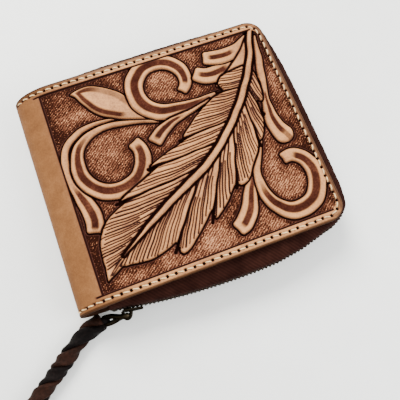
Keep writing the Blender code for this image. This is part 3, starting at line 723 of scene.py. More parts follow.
class Tooling:
    """Height, dye, cut lines and painted shade of the design at a cloud of points."""

    def __init__(self, x, y):
        # A hand-cut line is never quite smooth
        self.x = x + 0.12 * np.sin(0.31 * x + 0.44 * y) + 0.04 * np.sin(0.9 * y - 0.5 * x + 1.0)
        self.y = y + 0.12 * np.sin(0.40 * x - 0.27 * y + 2.0) + 0.04 * np.sin(0.8 * x + 0.6 * y)
        self.height = np.full(x.shape, -FIELD_DEPTH)
        self.raised, self.dye, self.line, self.shade = np.zeros((4, *x.shape))

    def near(self, line, reach):
        low, high = line[:, :2].min(0) - reach, line[:, :2].max(0) + reach
        beside = (self.x > low[0]) & (self.x < high[0])
        return np.flatnonzero(beside & (self.y > low[1]) & (self.y < high[1]))

    def cut(self, points, strength, depth=0.25):
        """A knife line: dark and narrow."""
        line = catmull(points, 2.0)
        at = self.near(line, 1.0)
        gap = nearest_on(line, self.x[at], self.y[at])[0]
        mark = ease((0.54 - gap) / 0.36) * strength
        self.line[at] = np.maximum(self.line[at], mark)
        self.height[at] -= depth * mark

    def edge(self, at, gap, line_width=0.36, undercut=1.5):
        """The cut round a raised shape, and the darkening outside it: dye that settles there, and painted
        shade under the raised edge.
        """
        outside = gap > 0
        clear, depth = at[~outside], -gap[~outside]
        for layer in (self.line, self.shade, self.dye):
            layer[clear] *= 1 - ease(depth / 0.35)
        self.raised[clear] = 1.0
        self.height[clear] = -FIELD_DEPTH * (1 - ease(depth / 0.9)) ** 1.5
        mark = ease((line_width + 0.28 - abs(gap - line_width + 0.04)) / 0.32)
        self.line[at] = np.maximum(self.line[at], mark)
        self.height[at] -= 0.35 * mark * outside
        # Painted shade on the ground by the raised edge, with the settled dye; weaker where the point lies on
        # another raised shape
        reach = np.exp(-np.maximum(gap, 0) / undercut) * (0.55 + 0.45 * (self.raised[at] < 0.5))
        self.shade[at] = np.maximum(self.shade[at], np.where(outside, reach, 0))

    def stroke(self, points, dye_share, dye_from, dye_to, offset=0.0, blunt=False, ring=0.0):
        """A raised shape round a line, dyed between two shares of its length."""
        line = smoothed(catmull(points, 0.6), 10)
        at = self.near(line, 8.0)
        gap, across, along, half = nearest_on(line, self.x[at], self.y[at])
        if blunt:
            # The broad end is cut off square, a little hollow
            (ax, ay, aw), (bx, by, _) = line[0], line[4]
            behind = (ax - self.x[at]) * (bx - ax) + (ay - self.y[at]) * (by - ay)
            behind = behind / math.hypot(bx - ax, by - ay)
            behind += 0.35 * (1 - np.clip(abs(across) / aw, 0, 1) ** 2) - 0.5
            bend = 0.42 * aw
            rounded = np.hypot(np.maximum(gap + bend, 0), np.maximum(behind + bend, 0))
            rounded += np.minimum(-bend, np.maximum(gap, behind))
            gap = np.where(along < 0.2, rounded, gap)
        self.edge(at, gap)
        inside = gap < 0
        share = across / half
        length = run_along(line[:, :2])[-1]
        fade = ease((along - dye_from) * length / 2.4) * ease((dye_to - along) / 0.10)
        band = abs(share - offset) / (dye_share * (0.35 + 0.65 * np.sqrt(fade)))
        dye = ease((1.34 - band) / 0.5)
        if ring:
            # The dye follows the leaf's edge and closes round its tip
            band = abs(-gap - ring) / (0.30 * ring + 0.10 * half)
            strength = 0.78 - 0.22 * np.tanh(4 * share) + 0.4 * ease((0.3 - along) / 0.15)
            dye = ease((1.5 - band) / 0.9) * np.minimum(1, strength)
        dye *= fade * inside * ease((half - 0.9) / 0.6)
        self.dye[at] = np.maximum(self.dye[at], dye)
        self.height[at] -= 0.18 * dye
        # Painted shade on the raised shape's sloping edge, darkest next to the cut
        self.shade[at] = np.maximum(self.shade[at], ease((gap + 0.8) / 0.8) * 0.5 * inside)


def barb_frame(rachis, share):
    """The point at a share of the rachis and the direction towards the tip there."""
    length = run_along(rachis[:, :2])
    behind, spot, ahead = (
        np.array([np.interp(share * length[-1] + step, length, rachis[:, k]) for k in (0, 1)])
        for step in (-0.6, 0.0, 0.6)
    )
    return spot, unit(ahead - behind)


def barb_end(rachis, share, length, angles, side):
    """(root, direction, end) of a barb."""
    spot, way = barb_frame(rachis, share)
    turn = math.radians(float(smooth_between(angles, share))) * side
    c, s = math.cos(turn), math.sin(turn)
    out = np.array([way[0] * c - way[1] * s, way[0] * s + way[1] * c])
    return spot, out, spot + out * length


def feather_outline(rachis):
    """The closed outline: along the left side's lobes, round the tip and back along the right's."""
    sides = []
    for lobes, angles, side in FEATHER_SIDES:
        points = [barb_frame(rachis, lobes[0][0][0] - 0.012)[0]]
        for number, lobe in enumerate(lobes):
            shares = np.linspace(lobe[0][0], lobe[-1][0], 12)
            lengths = smooth_between(lobe, shares)
            if number:
                notch = min(last, lengths[0]) * 0.88
                points.append(barb_end(rachis, lobe[0][0] - 0.004, notch, angles, side)[2])
            last = lengths[-1]
            points.extend(barb_end(rachis, u, n, angles, side)[2] for u, n in zip(shares, lengths))
        sides.append(points)
    left, right = sides[0][:-1], sides[1][:-2]
    closed = np.vstack([*left, FEATHER_TIP, *right[::-1], left[0]])
    tip = slice(len(left) - 1, len(left) + 2)
    pointed = closed[tip].copy()
    closed = smoothed(closed, 2)
    closed[tip] = pointed
    return closed


def inside_of(closed, x, y):
    inside = np.zeros(len(x), bool)
    for (ax, ay), (bx, by) in zip(closed, closed[1:]):
        if ay != by:
            inside ^= ((ay > y) != (by > y)) & (x < (bx - ax) * (y - ay) / (by - ay) + ax)
    return inside


def cut_barbs(t, rachis):
    """Tapering knife lines from the rachis to the outline, and a deep cut between lobes."""
    rng = np.random.default_rng(7)
    for lobes, angles, side in FEATHER_SIDES:
        for number, lobe in enumerate(lobes):
            fine = np.linspace(lobe[0][0], lobe[-1][0], 240)
            ends = [barb_end(rachis, u, n, angles, side) for u, n in zip(fine, smooth_between(lobe, fine))]
            steps = [(way, q - p) for (_, way, p), (_, _, q) in zip(ends, ends[1:])]
            run = np.r_[0, np.cumsum([abs(way[0] * step[1] - way[1] * step[0]) for way, step in steps])]
            count = max(2, round(run[-1] / BARB_PITCH))
            for k in range(count):
                u = float(np.interp((k + 0.5 + rng.uniform(-0.18, 0.18)) * run[-1] / count, run, fine))
                length = float(smooth_between(lobe, u))
                spot, out, _ = barb_end(rachis, u, length, angles, side)
                # Where the barbs spread, every other one starts further out
                spread = abs(float(np.interp(u + 0.01, fine, run)) - float(np.interp(u - 0.01, fine, run)))
                root = 0.02 * RACHIS_LENGTH * math.sin(math.radians(float(smooth_between(angles, u))))
                crowded = root / max(spread, 1e-6) > 0.62
                first = 0.05 if k % 2 or crowded else rng.uniform(0.3, 0.5)
                last = rng.uniform(0.92, 1.0)
                bow = np.array([-out[1], out[0]]) * side * -0.14 * length
                wide = rng.uniform(-0.13, 0.03)
                stations = ((first, -0.04), ((first + last) / 2, wide), (last, wide - 0.02))
                points = [(*(spot + out * length * v + bow * v * (1 - v)), w) for v, w in stations]
                t.cut(points, rng.uniform(0.93, 1.0))
            if number:
                before = lobes[number - 1]
                reach = max(before[-1][1], lobe[0][1])
                spot, out, _ = barb_end(rachis, (before[-1][0] + lobe[0][0]) / 2, reach, angles, side)
                points = [(*(spot + out * reach * v), w) for v, w in ((0.08, 0.08), (0.6, 0.2), (0.98, 0.5))]
                t.cut(points, 1.0, 0.4)
    # The tip's barbs lie along the rachis: (bearing, nearest and furthest distance from the tip)
    for bearing, near, far in ((37, 3.0, 9.6), (46, 2.4, 7.6), (27, 3.4, 8.2)):
        way = np.array((math.cos(math.radians(bearing)), math.sin(math.radians(bearing))))
        t.cut([(*(FEATHER_TIP + way * far), -0.08), (*(FEATHER_TIP + way * near), -0.1)], 0.95)


def feather(t):
    rachis = catmull(RACHIS, 0.6)
    closed = feather_outline(rachis)
    at = t.near(closed, 6.0)
    gap = nearest_on(np.c_[closed, np.zeros(len(closed))], t.x[at], t.y[at])[0]
    inside = inside_of(closed, t.x[at], t.y[at])
    t.edge(at, np.where(inside, -gap, gap), 0.38, 1.8)
    cut_barbs(t, rachis)
    t.shade[at[inside]] = np.maximum(t.shade[at[inside]], 0.07)
    # The rachis's edges: knife cuts widened with a painted undercut shadow, wider on one side
    at = t.near(rachis, 6.0)
    gap, across, _, _ = nearest_on(rachis, t.x[at], t.y[at])
    t.edge(at, gap, np.where(across > 0, 0.56, 0.66))


def stitch_line():
    """The stitching's line on one half, unrolled: from the fold, round the free sides, to the fold."""
    low, high = COVER_Y[0] + STITCH_INSET, COVER_Y[1] - STITCH_INSET
    right = FREE_EDGE_X - STITCH_INSET + 0.2
    return rounded_side(-66.0, right, low, high, CORNER_R - STITCH_INSET, 7.5)


def stitch_holes():
    """Hand-punched holes along the line, a little uneven."""
    line = stitch_line()
    run = run_along(line)
    rng = np.random.default_rng(11)
    holes, at = [], 1.0
    while at < run[-1] - 0.8:
        spot = np.array([np.interp(at, run, line[:, k]) for k in (0, 1)])
        holes.append(spot + rng.normal(0, 0.1, 2))
        at += rng.uniform(3.55, 4.1)
    return np.array(holes)


def draw_tooling(u, y, edge_gap):
    """The whole design at points edge_gap inside the tooled field's border."""
    t = Tooling(u, y)
    for name, *settings in STROKES:
        t.stroke(OUTLINES[name], *settings)
    feather(t)
    open_ground = 1 - t.raised
    # Painted shade on the sunken ground along the field's border
    t.shade = np.clip(t.shade + np.exp(-edge_gap / 1.3) * open_ground * 0.45, 0, 1)
    # The ground is made paler below the feather and darker towards the spine
    pale = np.exp(-(((t.x + 4) / 26) ** 2) - ((t.y + 38) / 7) ** 2)
    t.shade += open_ground * (0.56 * np.exp((FIELD_LEFT - t.x) / 8) - 0.24 * pale + 0.02)
    t.shade = np.minimum(t.shade, 0.82)
    return t


def relief(u, y, side):
    """Height, tooling and finish (painted shade, burnish, bare leather) of the cover's outer face at unrolled
    x, u, and y.
    """
    height, tooling, finish = plain_relief(u, y, side)
    above, below = y - COVER_Y[0], COVER_Y[1] - y
    to_side = np.minimum(above, below)
    field_gap = np.minimum.reduce([u - FIELD_LEFT, FIELD_RIGHT - u, to_side - BORDER_INSET])
    # Field corners follow the cover's rounded corners
    radius = CORNER_R - 3.2
    cx = FIELD_RIGHT - radius
    for cy, sign in ((COVER_Y[0] + BORDER_INSET + radius, -1), (COVER_Y[1] - BORDER_INSET - radius, 1)):
        corner = (u > cx) & ((y - cy) * sign > 0)
        field_gap = np.where(corner, radius - np.hypot(u - cx, y - cy), field_gap)
    field = (side > 0) & (field_gap > 0)
    t = draw_tooling(u[field], y[field], field_gap[field])
    height[field] = t.height * ease(field_gap[field] / 0.5)
    tooling[field] = np.stack([1 - t.raised, t.dye, t.line], -1)
    finish[field, 0] = t.shade
    finish[field, 2] = 0.0
    rim = (side > 0) & (u > FIELD_LEFT - 4) & ~field
    finish[rim, 2] = 1 - ease((u[rim] - FIELD_LEFT + 4) / 34)
    # The rim a little darker, and darker still towards the free edge: a burnish, carried in the painted-shade
    # channel
    finish[rim, 0] = 0.10 + 0.62 * ease((u[rim] - FIELD_RIGHT + 3) / 3)
    # Border knife line on the left, bottom and top; the bottom one overruns the corner
    upright = np.where(to_side < BORDER_INSET, 9, abs(u - FIELD_LEFT))
    level = np.minimum(abs(above - BORDER_INSET), abs(below - BORDER_INSET))
    level = np.where((u < FIELD_LEFT - 3.2) | (u > FIELD_RIGHT - 2.5), 9, level)
    mark = ease((0.62 - np.minimum(upright, level)) / 0.36) * (side > 0)
    tooling[..., 2] = np.maximum(tooling[..., 2], mark * 0.95)
    height -= 0.3 * mark
    # Stitching groove and holes, the holes painted near black: painted shade inside them
    outer = np.minimum(to_side, FREE_EDGE_X - u)
    sewn = outer < 5.5
    line = stitch_line()
    gap = nearest_on(np.c_[line, np.zeros(len(line))], u[sewn], y[sewn])[0]
    height[sewn] -= 0.28 * ease(1.4 - gap / 0.5)
    dark = np.zeros(gap.shape)
    sewn_u, sewn_y = u[sewn], y[sewn]
    for px, py in stitch_holes():
        close = np.flatnonzero((abs(sewn_u - px) < 1.2) & (abs(sewn_y - py) < 1.2))
        away = np.hypot(sewn_u[close] - px, sewn_y[close] - py)
        dark[close] = np.maximum(dark[close], ease((0.82 - away) / 0.3))
    height[sewn] -= 0.6 * dark
    tooling[sewn, 2] = np.maximum(tooling[sewn, 2], dark)
    # Burnishing creeps in from the rim
    reach = 0.42 + 0.6 * (below < 3) + 0.35 * (FREE_EDGE_X - u < 3)
    burnish = np.exp(-np.maximum(outer - 0.7, 0) / reach) * 0.97
    for corner_y in (COVER_Y[0] + 3.5, COVER_Y[1] - 3.5):
        away = np.hypot(FREE_EDGE_X - 3.5 - u, y - corner_y)
        burnish = np.maximum(burnish, 0.75 * ease(1.2 - away / 7) * ease((3.2 - outer) / 1.6))
    finish[..., 1] = burnish
    return height, tooling, finish


def plain_relief(u, y, side):
    """A flat, bare face."""
    finish = np.zeros((*u.shape, 3))
    finish[..., 2] = 1.0
    return np.zeros(u.shape), np.zeros((*u.shape, 3)), finish


def add_stitches(material):
    """Each stitch a waxed thread from hole to hole, a little slanted, dipping into its holes."""
    b = Builder()
    rng = np.random.default_rng(5)
    holes = stitch_holes()
    share = np.linspace(0, 1, 9)
    for side in (1, -1):
        for start, end in zip(holes, holes[1:]):
            way = unit(end - start)
            cross = np.array((-way[1], way[0]))
            slant = rng.uniform(0.14, 0.30)
            path = start + (end - start) * (0.15 + 0.7 * share[:, None])
            path = path + cross * slant * (1 - 2 * share[:, None])
            lift = -0.55 + 0.68 * np.sin(share * math.pi) ** 0.5
            width = rng.uniform(0.29, 0.34) * (0.6 + 0.4 * np.sin(share * math.pi) ** 0.6)
            rings = []
            for a in np.arange(8) / 8 * math.tau:
                x, y = (path + cross * (width * math.cos(a))[:, None]).T
                rings.append(wrap_point(x, y, lift + width * 0.75 * math.sin(a), side))
            b.loft(np.stack(rings, 1))
    return b.build("cover_stitching", material)


# Zip

TAPE_PAST = 2.4  # the tapes carry the stops beyond the last teeth
TAPE_THICK = 0.5
STOP_PAST = 1.2
TOOTH_PITCH = 1.75
TOOTH_LENGTH = 0.82
# A tooth from root to head: (height off the middle, length, thickness, shift outwards)
TOOTH_LEVELS = (
    (2.85, 0.55, 0.6, -0.15), (2.7, 1.1, 0.95, 0.1), (2.2, 1.25, 1.0, 0.22), (1.6, 1.2, 1.0, 0.22),
    (1.1, 1.0, 0.9, 0.05), (-0.4, 0.95, 0.85, 0.0), (-0.72, 0.65, 0.7, -0.1),
)
ZIP_SIDES = 2 * (FREE_EDGE_X - CORNER_R) - ZIP_START_X - ZIP_END_X
ZIP_LENGTH = ZIP_SIDES + CORNER_R * math.pi + COVER_Y[1] - COVER_Y[0] - 2 * CORNER_R


def edge_station(s):
    """(x, y, nx, ny) on the covers' edge at distance s from the zip's start."""
    turn = CORNER_R * math.pi / 2
    cx = FREE_EDGE_X - CORNER_R
    low, high = COVER_Y[0] + CORNER_R, COVER_Y[1] - CORNER_R
    bottom, right = cx - ZIP_START_X, high - low
    if s < bottom:
        return ZIP_START_X + s, COVER_Y[0], 0.0, -1.0
    s -= bottom
    if s < turn:
        a = s / CORNER_R - math.pi / 2
        return cx + CORNER_R * math.cos(a), low + CORNER_R * math.sin(a), math.cos(a), math.sin(a)
    s -= turn
    if s < right:
        return FREE_EDGE_X, low + s, 1.0, 0.0
    s -= right
    if s < turn:
        a = s / CORNER_R
        return cx + CORNER_R * math.cos(a), high + CORNER_R * math.sin(a), math.cos(a), math.sin(a)
    return cx - (s - turn), COVER_Y[1], 0.0, 1.0


def run_bulge(x):
    return COVER_Y[0] - RUN_CENTRE[1] + math.sqrt(RUN_RADIUS**2 - (x - RUN_CENTRE[0]) ** 2)


def bulge_at(s):
    """How far the chain's outer face stands out from the covers' edge, at distance s along it."""
    s = min(max(s, 0.0), ZIP_LENGTH)
    run_end = RUN_END_X - ZIP_START_X
    if s <= run_end:
        return run_bulge(ZIP_START_X + s)
    return float(smooth_between(((run_end, run_bulge(RUN_END_X)), *BULGES), s))


def chain_line(step, past=0.0):
    """The chain's outer face: rows (x, y, nx, ny, distance along the edge, bulge), past both ends."""
    rows = []
    for s in np.linspace(-past, ZIP_LENGTH + past, int(ZIP_LENGTH / step)):
        x, y, nx, ny = edge_station(s)
        bulge = bulge_at(s)
        rows.append((x + nx * bulge, y + ny * bulge, nx, ny, s, bulge))
    return np.array(rows)


def tape_section(bulge):
    """(offset, height) from the sewn flange, over the shoulder, to the teeth."""
    flange, shoulder = MID_Z - 3.0, 5.0
    chain = bulge - CHAIN_THICK / 2 + 0.05
    a = np.radians(np.linspace(0, 90, 9))
    outs = np.r_[-5.5, -3.0, -0.6 + (chain + 0.6) * np.sin(a), chain + 0.12, chain, chain]
    ups = np.r_[flange, flange, shoulder + (flange - shoulder) * np.cos(a), 3.8, 2.3, 0.3]
    return outs, ups


def add_tape(name, side, material):
    """A cloth strip along one cover's edge, a little rippled. Its weave follows its own length and width."""
    rows, marks = [], []
    line = chain_line(1.0, TAPE_PAST)
    for (x, y, nx, ny, s, bulge), run in zip(line, run_along(line[:, :2])):
        outs, ups = tape_section(bulge)
        ripple = 0.07 * math.sin(s * 1.9) + 0.05 * math.sin(s * 0.73 + 1.0)
        outs = outs + ripple * np.clip((outs + 0.5) / 3.0, 0, 1) * (ups > 3.4)
        past_chain = outs - bulge
        rows.append(np.stack([x + nx * past_chain, y + ny * past_chain, MID_Z + side * ups], -1))
        width = run_along(np.c_[outs, ups])
        marks.append(np.stack([np.full(len(outs), run), width, np.zeros(len(outs))], -1))
    rows = np.array(rows)
    obj = make_mesh(name, rows.reshape(-1, 3), grid_faces(*rows.shape[:2]), material)
    layer = obj.data.attributes.new("weave", "FLOAT_VECTOR", "POINT")
    layer.data.foreach_set("vector", (np.array(marks) * MM).astype(np.float32).ravel())
    modifier = obj.modifiers.new("thickness", "SOLIDIFY")
    modifier.thickness = TAPE_THICK * MM
    modifier.offset = 0
    return obj


def add_teeth(name, side, material):
    """A row of cast teeth: a foot clamped on the tape and a head that fits between the other row's."""
    b = Builder()
    line = chain_line(0.25)
    run = run_along(line[:, :2])
    outline = oval(1.0, 1.0, 12)
    at = 0.7 + (TOOTH_PITCH / 2 if side > 0 else 0.0)
    while at < run[-1] - 0.6:
        x, y, nx, ny = (float(np.interp(at, run, line[:, k])) for k in range(4))
        spot, out = np.array((x, y)), unit(np.array((nx, ny)))
        ahead = np.array((-out[1], out[0]))
        rings = []
        for up, long, thick, lift in TOOTH_LEVELS:
            rise = lift - CHAIN_THICK / 2 + outline[:, 1] * CHAIN_THICK * thick
            along = outline[:, 0] * TOOTH_LENGTH * long
            flat = spot + out * rise[:, None] + ahead * along[:, None]
            rings.append(np.c_[flat, np.full(len(flat), MID_Z + side * up)])
        b.loft(rings)
        at += TOOTH_PITCH
    return b.build(name, material, smooth=False)


def add_stop(name, place, height, material):
    """A cast block round the chain, with eased ends."""
    outline = np.c_[oval(1.8, CHAIN_THICK, 16, 5.0), np.zeros(16)]
    levels = ((-0.5, 0.75), (-0.42, 0.96), (-0.3, 1.0), (0.3, 1.0), (0.42, 0.96), (0.5, 0.75))
    rings = [np.array(place) + outline * shrink + (0, 0, share * height) for share, shrink in levels]
    return lofted(name, rings, material)


# Slider and pull


def slider_place():
    lean = (SLIDER_X - RUN_CENTRE[0]) / RUN_RADIUS
    along = Vector((math.cos(lean), math.sin(lean), 0.0))
    outward = Vector((math.sin(lean), -math.cos(lean), 0.0))
    place = Vector((SLIDER_X, COVER_Y[0] - run_bulge(SLIDER_X), MID_Z))
    return Matrix.Translation(place) @ Matrix((along, outward, Vector((0, 0, 1)))).transposed().to_4x4()


def through(matrix, points):
    return np.array([matrix @ Vector(p) for p in points])


def add_slider(material):
    """Two plates either side of the chain, the post between them and the bail."""
    b = Builder()
    place = slider_place()
    half = SLIDER_LENGTH / 2
    wide_end = [(-half, 0.0), (-half + 0.3, 2.6), (-half + 1.8, 4.45), (-1.2, 4.5), (0.8, 3.7)]
    upper = catmull([*wide_end, (half - 2.6, 3.5), (half - 1.7, 2.7), (half - 1.5, 0.0)], 0.6)
    outline = np.vstack([upper, upper[-2:0:-1] * (1, -1)])
    levels = ((0.0, 0.97), (0.08, 1.0), (0.62, 1.0), (0.82, 0.955), (PLATE_THICK, 0.88))
    for low, direction in ((PLATE_GAP, 1), (-CHAIN_THICK - PLATE_GAP, -1)):
        rings = []
        for lift, shrink in levels:
            out = low + direction * lift
            rings.append(through(place, [(x * shrink, out, z * shrink) for x, z in outline]))
        b.loft(rings)
    post = oval(3.0, 0.4, 12, 3.0)
    ends = (-CHAIN_THICK - PLATE_GAP - 0.3, PLATE_GAP + 0.3)
    b.loft([through(place, [(-half + 2.3 + x, out, z) for x, z in post]) for out in ends])
    rise = PLATE_GAP + PLATE_THICK
    arch = [(BAIL_X - BAIL_HALF, rise - 0.4, 0), (BAIL_X - BAIL_HALF, rise + 0.6, 0)]
    for a in np.radians(range(160, 10, -15)):
        arch.append((BAIL_X + BAIL_HALF * math.cos(a), rise + BAIL_RISE * math.sin(a) ** 0.9, 0))
    arch += [(BAIL_X + BAIL_HALF, rise + 0.6, 0), (BAIL_X + BAIL_HALF, rise - 0.4, 0)]
    b.loft(section_rings(through(place, catmull(arch, 0.35)), oval(1.5, 1.5, 12, 2.0)))
    return b.build("slider_with_bail", material)


def pull_eye():
    """The middle of the pull's near end, inside the bail."""
    return slider_place() @ Vector((BAIL_X, PLATE_GAP + PLATE_THICK + PULL_BAR_RISE, 0.0))


def pull_centre_line():
    """The bent wire's middle: out one side, round the far end and back, twisted a quarter on the way."""
    start, end = pull_eye(), Vector(PULL_END)
    along = (end - start).normalized()
    level = Vector((along.y, -along.x, 0.0)).normalized()
    upright = Vector((0, 0, 1))
    run = (end - start).length - PULL_HALF_WIDTH
    steps = 14
    path = []

    def put(share, distance, width):
        late = max(0.0, (share - 0.2) / 0.8)
        turn = math.radians(78) * late * late * (3 - 2 * late)
        across = upright * math.cos(turn) + level * math.sin(turn)
        path.append(start + along * distance + across * width * PULL_HALF_WIDTH)

    for k in range(steps + 1):
        put(k / steps, k / steps * run, 1.0)
    for k in range(1, 12):
        a = math.radians(15 * k)
        put(1.0, run + math.sin(a) * PULL_HALF_WIDTH, math.cos(a))
    for k in range(steps, -1, -1):
        put(k / steps, k / steps * run, -1.0)
    return np.array(path)


def add_pull(material):
    path = pull_centre_line()
    path = np.vstack([path, (path[-1] * 2 + path[0]) / 3, (path[-1] + path[0] * 2) / 3])
    ahead = closed_directions(path)
    side = unit(np.cross(ahead, (0.35, 0.9, 0.25)))  # a direction that the wire never takes
    rings = swept(path, oval(2.1, 2.1, 14, 2.0), side, np.cross(side, ahead))
    return lofted("pull_ring", rings, material, wrap=True)


# Strap

KNOT_CENTRE_Z = 3.49
KNOT_R = 4.3
# Half-turns of the twist reached along the strap, in millimetres from the pull
TWIST = (
    (-1.0, -0.8), (2.0, -0.62), (10.0, 0.0), (20.6, 1.0), (27.4, 2.0), (35.6, 3.0), (46.0, 4.0),
    (57.0, 5.0), (69.0, 6.0), (84.0, 7.3),
)


def knot_place():
    """The knot's centre and the strap's level direction into it."""
    route = catmull(STRAP_ROUTE, 1.0)
    ahead = unit((route[-1] - catmull(STRAP_ROUTE, 4.2)[-2]) * (1, 1, 0))
    centre = route[-1] + ahead * (KNOT_R * 0.92 + 0.3)
    centre[2] = KNOT_CENTRE_Z
    return centre, ahead


def add_strap(materials):
    """Two flat thongs twisted round each other, the twist slackening towards the knot."""
    route = np.array(STRAP_ROUTE)
    centre, ahead = knot_place()
    path = catmull([route[0] + 0.8 * (route[0] - route[1]), *route, centre - ahead * 1.6], 0.45)
    run = run_along(path)
    turns = -math.pi * smooth_between(TWIST, run)
    # Slimmer at both ends, and swollen where the loop's ends are bound in
    fill = 0.74 + 0.26 * np.minimum(1, np.sqrt(run / 3.2))
    fill *= 0.35 + 0.65 * np.minimum(1, np.sqrt((run[-1] + 0.2 - run) / 2.5))
    swell = fill * (0.98 + 0.04 * np.sin(run * 0.31 + 1.0) + 0.2 * np.exp(-((run / 7) ** 2)))
    a = np.arange(26) / 26 * math.tau
    c, d = np.cos(a), np.sin(a)
    flat = np.stack([np.sign(c) * abs(c) ** 0.86 * 3.3, np.sign(d) * abs(d) ** 0.9 * 1.8 + 1.35], -1)
    pieces = []
    for number, material in enumerate(materials):
        rings = rested(section_rings(path, flat, turns + math.pi * number, swell))
        pieces.append(lofted(f"strap_thong_{number}", rings, material))
    bpy.ops.object.select_all(action="DESELECT")
    for piece in pieces:
        piece.select_set(True)
    bpy.context.view_layer.objects.active = pieces[0]
    bpy.ops.object.join()
    strap = pieces[0]
    strap.name = strap.data.name = "twisted_strap"
    return strap


def add_loop(material):
    """The thong's bight round the pull's far end."""
    end = np.array(PULL_END)
    up = np.array((0, 0, 1.0))
    inward = unit((np.array(pull_eye()) - end) * (1, 1, 0))
    back = (np.array(STRAP_ROUTE[0]) - end) * (1, 1, 0)
    leg = np.linalg.norm(back)
    back /= leg
    points = [end + up * 1.75 + back * (leg + 0.6), end + up * 1.95 + back * 1.2]
    for a in np.radians(range(0, 181, 30)):
        points.append(end + (up * math.cos(a) + inward * math.sin(a)) * 1.95)
    points += [end - up * 1.95 + back * 1.2, end - up * 1.75 + back * (leg + 0.6)]
    path = catmull(points, 0.4)
    side = np.cross(up, inward)[None]
    above = np.cross(side, unit(np.gradient(path, axis=0)))
    return lofted("strap_bight", rested(swept(path, oval(2.3, 1.9), side, above)), material)


def add_knot(material):
    """The strap's end knot: a thong wound over and under itself round a ball."""
    centre, ahead = knot_place()
    up = np.array((0, 0, 1.0))
    a = np.arange(150)[:, None] / 150 * math.tau
    weave = 2.35 + 0.75 * np.cos(3 * a)
    out = weave * np.cos(2 * a) * np.cross(up, ahead) + weave * np.sin(2 * a) * up * 0.72
    out += 1.35 * np.sin(3 * a) * ahead * 1.75
    path = centre + out
    along = closed_directions(path)
    across = unit(np.cross(along, out))
    rings = swept(path, oval(3.0, 1.5, 12, 2.4), across, np.cross(across, along))
    return lofted("end_knot", rested(rings), material, wrap=True)


def add_tail(name, sign, material):
    """A thong's free end beyond the knot; sign says to which side it leaves."""
    centre, ahead = knot_place()
    side = np.cross((0, 0, 1.0), ahead)
    leave, spread = math.radians(22) * sign, math.radians(7) * sign
    first = centre + (ahead * math.cos(leave) + side * math.sin(leave)) * 2.2
    way = ahead * math.cos(spread) + side * math.sin(spread)
    share = np.linspace(0, 1, 18)
    path = first + way * (16.4 + KNOT_R) * share[:, None]
    path[:, 2] = 1.5 + 0.7 * (1 - share) ** 2
    path += side * (0.4 * np.sin(share * math.pi * 1.3) * sign)[:, None]
    rings = section_rings(path, oval(2.6, 1.9, 14, 3.2), share * 0.6 * sign, 1 - 0.18 * share**2)
    return lofted(name, rested(rings), material)


# Pockets: (side, depth below the outer face, low and high x, low and high y)

POCKETS = {
    "front_card_pocket_back": (1, 4.7, -39.5, 49.5, -43.0, 46.4),
    "front_card_pocket_middle": (1, 5.8, -39.5, 43.0, -43.0, 46.4),
    "front_card_pocket_top": (1, 6.9, -39.5, 36.5, -43.0, 46.4),
    "banknote_pocket_panel": (-1, 4.7, -39.5, 49.5, -43.0, 46.4),
    "back_card_pocket_lower": (-1, 5.8, -39.5, 49.5, -43.0, 30.0),
    "back_card_pocket_upper": (-1, 6.9, -39.5, 49.5, -43.0, 17.0),
}
# A leaf's edge from its flat inside to its rim: (distance in, height off the middle)
LEAF_EDGE = ((2.9, 0.4), (2.3, 0.4), (2.05, 0.2), (1.8, 0.4), (0.7, 0.4), (0.2, 0.34), (0.0, 0.15))


def add_leaf(name, side, depth, low_x, high_x, low_y, high_y, material):
    """A pocket leaf with rounded edges and a creased line inside them."""
    outline = rounded_side(low_x, high_x, low_y, high_y, 3.0, 9)
    dense = []
    for p, q in zip(outline, np.roll(outline, -1, 0)):
        count = max(1, int(np.linalg.norm(q - p) / 2.0))
        dense += [p + (q - p) * k / count for k in range(count)]
    centre = np.array(((low_x + high_x) / 2, (low_y + high_y) / 2))
    half = np.array((high_x - low_x, high_y - low_y)) / 2
    middle = MID_Z + side * (MID_Z - depth - 0.4)
    rings = []
    for inset, up in [(inset, -up) for inset, up in LEAF_EDGE] + list(reversed(LEAF_EDGE)):
        flat = centre + (np.array(dense) - centre) * (1 - inset / half)
        rings.append(np.c_[flat, np.full(len(flat), middle + up)])
    return lofted(name + "_leather", rings, material)


# The whole

FLOOR_HALF = 900.0


def add_world():
    """A bright, even sky with a trace of blue."""
    world = bpy.data.worlds.new("soft_grey")
    world.use_nodes = True
    background = world.node_tree.nodes["Background"]
    background.inputs[0].default_value = (0.97, 0.98, 1.0, 1.0)
    background.inputs[1].default_value = 1.42
    bpy.context.scene.world = world


def settle(piece, body, node):
    """For a piece that rides on one body."""
    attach(piece, body)
    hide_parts(node)


def settle_bent(piece, nodes):
    """For a piece that wraps round the spine: its placement is baked into its mesh."""
    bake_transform(piece)
    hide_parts(*nodes)


def lay_strap():
    black = plain_leather("thong_black", (0.0022, 0.0016, 0.0015), (0.0095, 0.0060, 0.0053), 0.14, gloss=0.03)
    brown = plain_leather("thong_brown", (0.0082, 0.0036, 0.0023), (0.032, 0.0124, 0.0078), 0.14, gloss=0.03)
    strap = add_strap((black, brown))
    settle(strap, "pull", "strap")
    others = {
        "strap_loop": add_loop(black),
        "strap_knot": add_knot(brown),
        "strap_tail_left": add_tail("tail_left", 1, black),
        "strap_tail_right": add_tail("tail_right", -1, brown),
    }
    for node, piece in others.items():
        settle(piece, "pull", node)


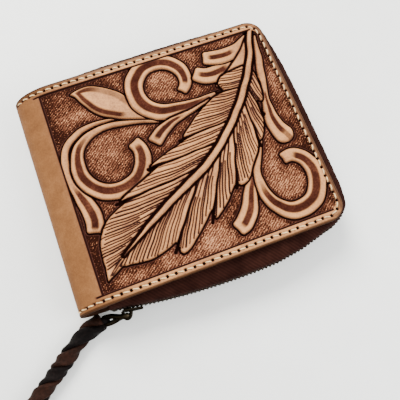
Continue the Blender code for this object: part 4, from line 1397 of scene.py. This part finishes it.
def make_leather():
    cover = leather_sheet("leather_cover", tooled_leather(), 0.0, COVER_LEATHER, 0.0, 0.28, 2.0, 0.7, relief)
    settle_bent(cover, ("front_cover", "back_cover"))
    settle_bent(add_stitches(thread_cloth()), ("front_stitching", "back_stitching"))
    dark = plain_leather("lining_leather", (0.044, 0.0155, 0.0085), (0.105, 0.041, 0.022), rough=0.6)
    lining = leather_sheet(
        "lining", dark, LINING_DEPTH, LINING_THICK, LINING_INSET, 1.6, 2.4, 0.3, plain_relief
    )
    settle_bent(lining, ("front_lining", "back_lining"))
    light = plain_leather("pocket_leather", (0.125, 0.046, 0.0165), (0.275, 0.114, 0.043))
    for name, (side, *sizes) in POCKETS.items():
        body = "front_half" if side > 0 else "back_half"
        settle(add_leaf(name, side, *sizes, light), body, name)


def make_zip():
    cloth = zip_cloth()
    cast = metal_rubbed_and_highlit("zip_teeth", (0.006, 0.0045, 0.004), (0.018, 0.012, 0.009), (0.055, 0.040, 0.029))
    bronze = metal_rubbed_and_highlit(
        "antique_bronze", (0.0042, 0.0033, 0.0022), (0.014, 0.0108, 0.0066), (0.042, 0.032, 0.019)
    )
    # The slider's bronze, darker than the pull's: painted shade for its place under the cover's edge
    shaded_bronze = metal_rubbed_and_highlit(
        "bronze_in_painted_shade", (0.003, 0.0022, 0.0016), (0.009, 0.0065, 0.0042), (0.022, 0.017, 0.010), 0.5
    )
    for which, side, body in (("upper", 1, "front_half"), ("lower", -1, "back_half")):
        settle(add_tape(f"{which}_tape", side, cloth), body, f"{which}_zip_tape")
        settle(add_teeth(f"{which}_teeth", side, cast), body, f"{which}_zip_teeth")
    near_x, near_y = ZIP_START_X - STOP_PAST, COVER_Y[0] - bulge_at(0.0) + CHAIN_THICK / 2
    far_y = COVER_Y[1] + bulge_at(ZIP_LENGTH) - CHAIN_THICK / 2
    for name, place, height, body in (
        ("back_top_stop", (near_x, near_y, MID_Z - 1.425), 1.95, "back_half"),
        ("front_top_stop", (near_x, near_y, MID_Z + 1.425), 1.95, "front_half"),
        ("zip_bottom_stop", (ZIP_END_X - STOP_PAST, far_y, MID_Z), 4.8, "back_half"),
    ):
        settle(add_stop("cast_" + name, place, height, bronze), body, name)
    settle(add_slider(shaded_bronze), "slider", "zip_slider")
    settle(add_pull(bronze), "pull", "zip_pull")


def add_stage():
    corners = [(x * FLOOR_HALF, y * FLOOR_HALF, -0.02) for x, y in ((-1, -1), (1, -1), (1, 1), (-1, 1))]
    floor = make_mesh("floor", corners, [(0, 1, 2, 3)], pale_floor())
    add_light("key", (-0.1, 0.62, 0.72), 0.55, 20.0, (1.0, 0.99, 0.97))
    add_light("fill", (0.6, -0.35, 0.5), 0.6, 9.0, (0.95, 0.97, 1.0))


def main():
    add_world()
    add_camera()
    lay_strap()
    make_leather()
    make_zip()
    add_stage()


main()
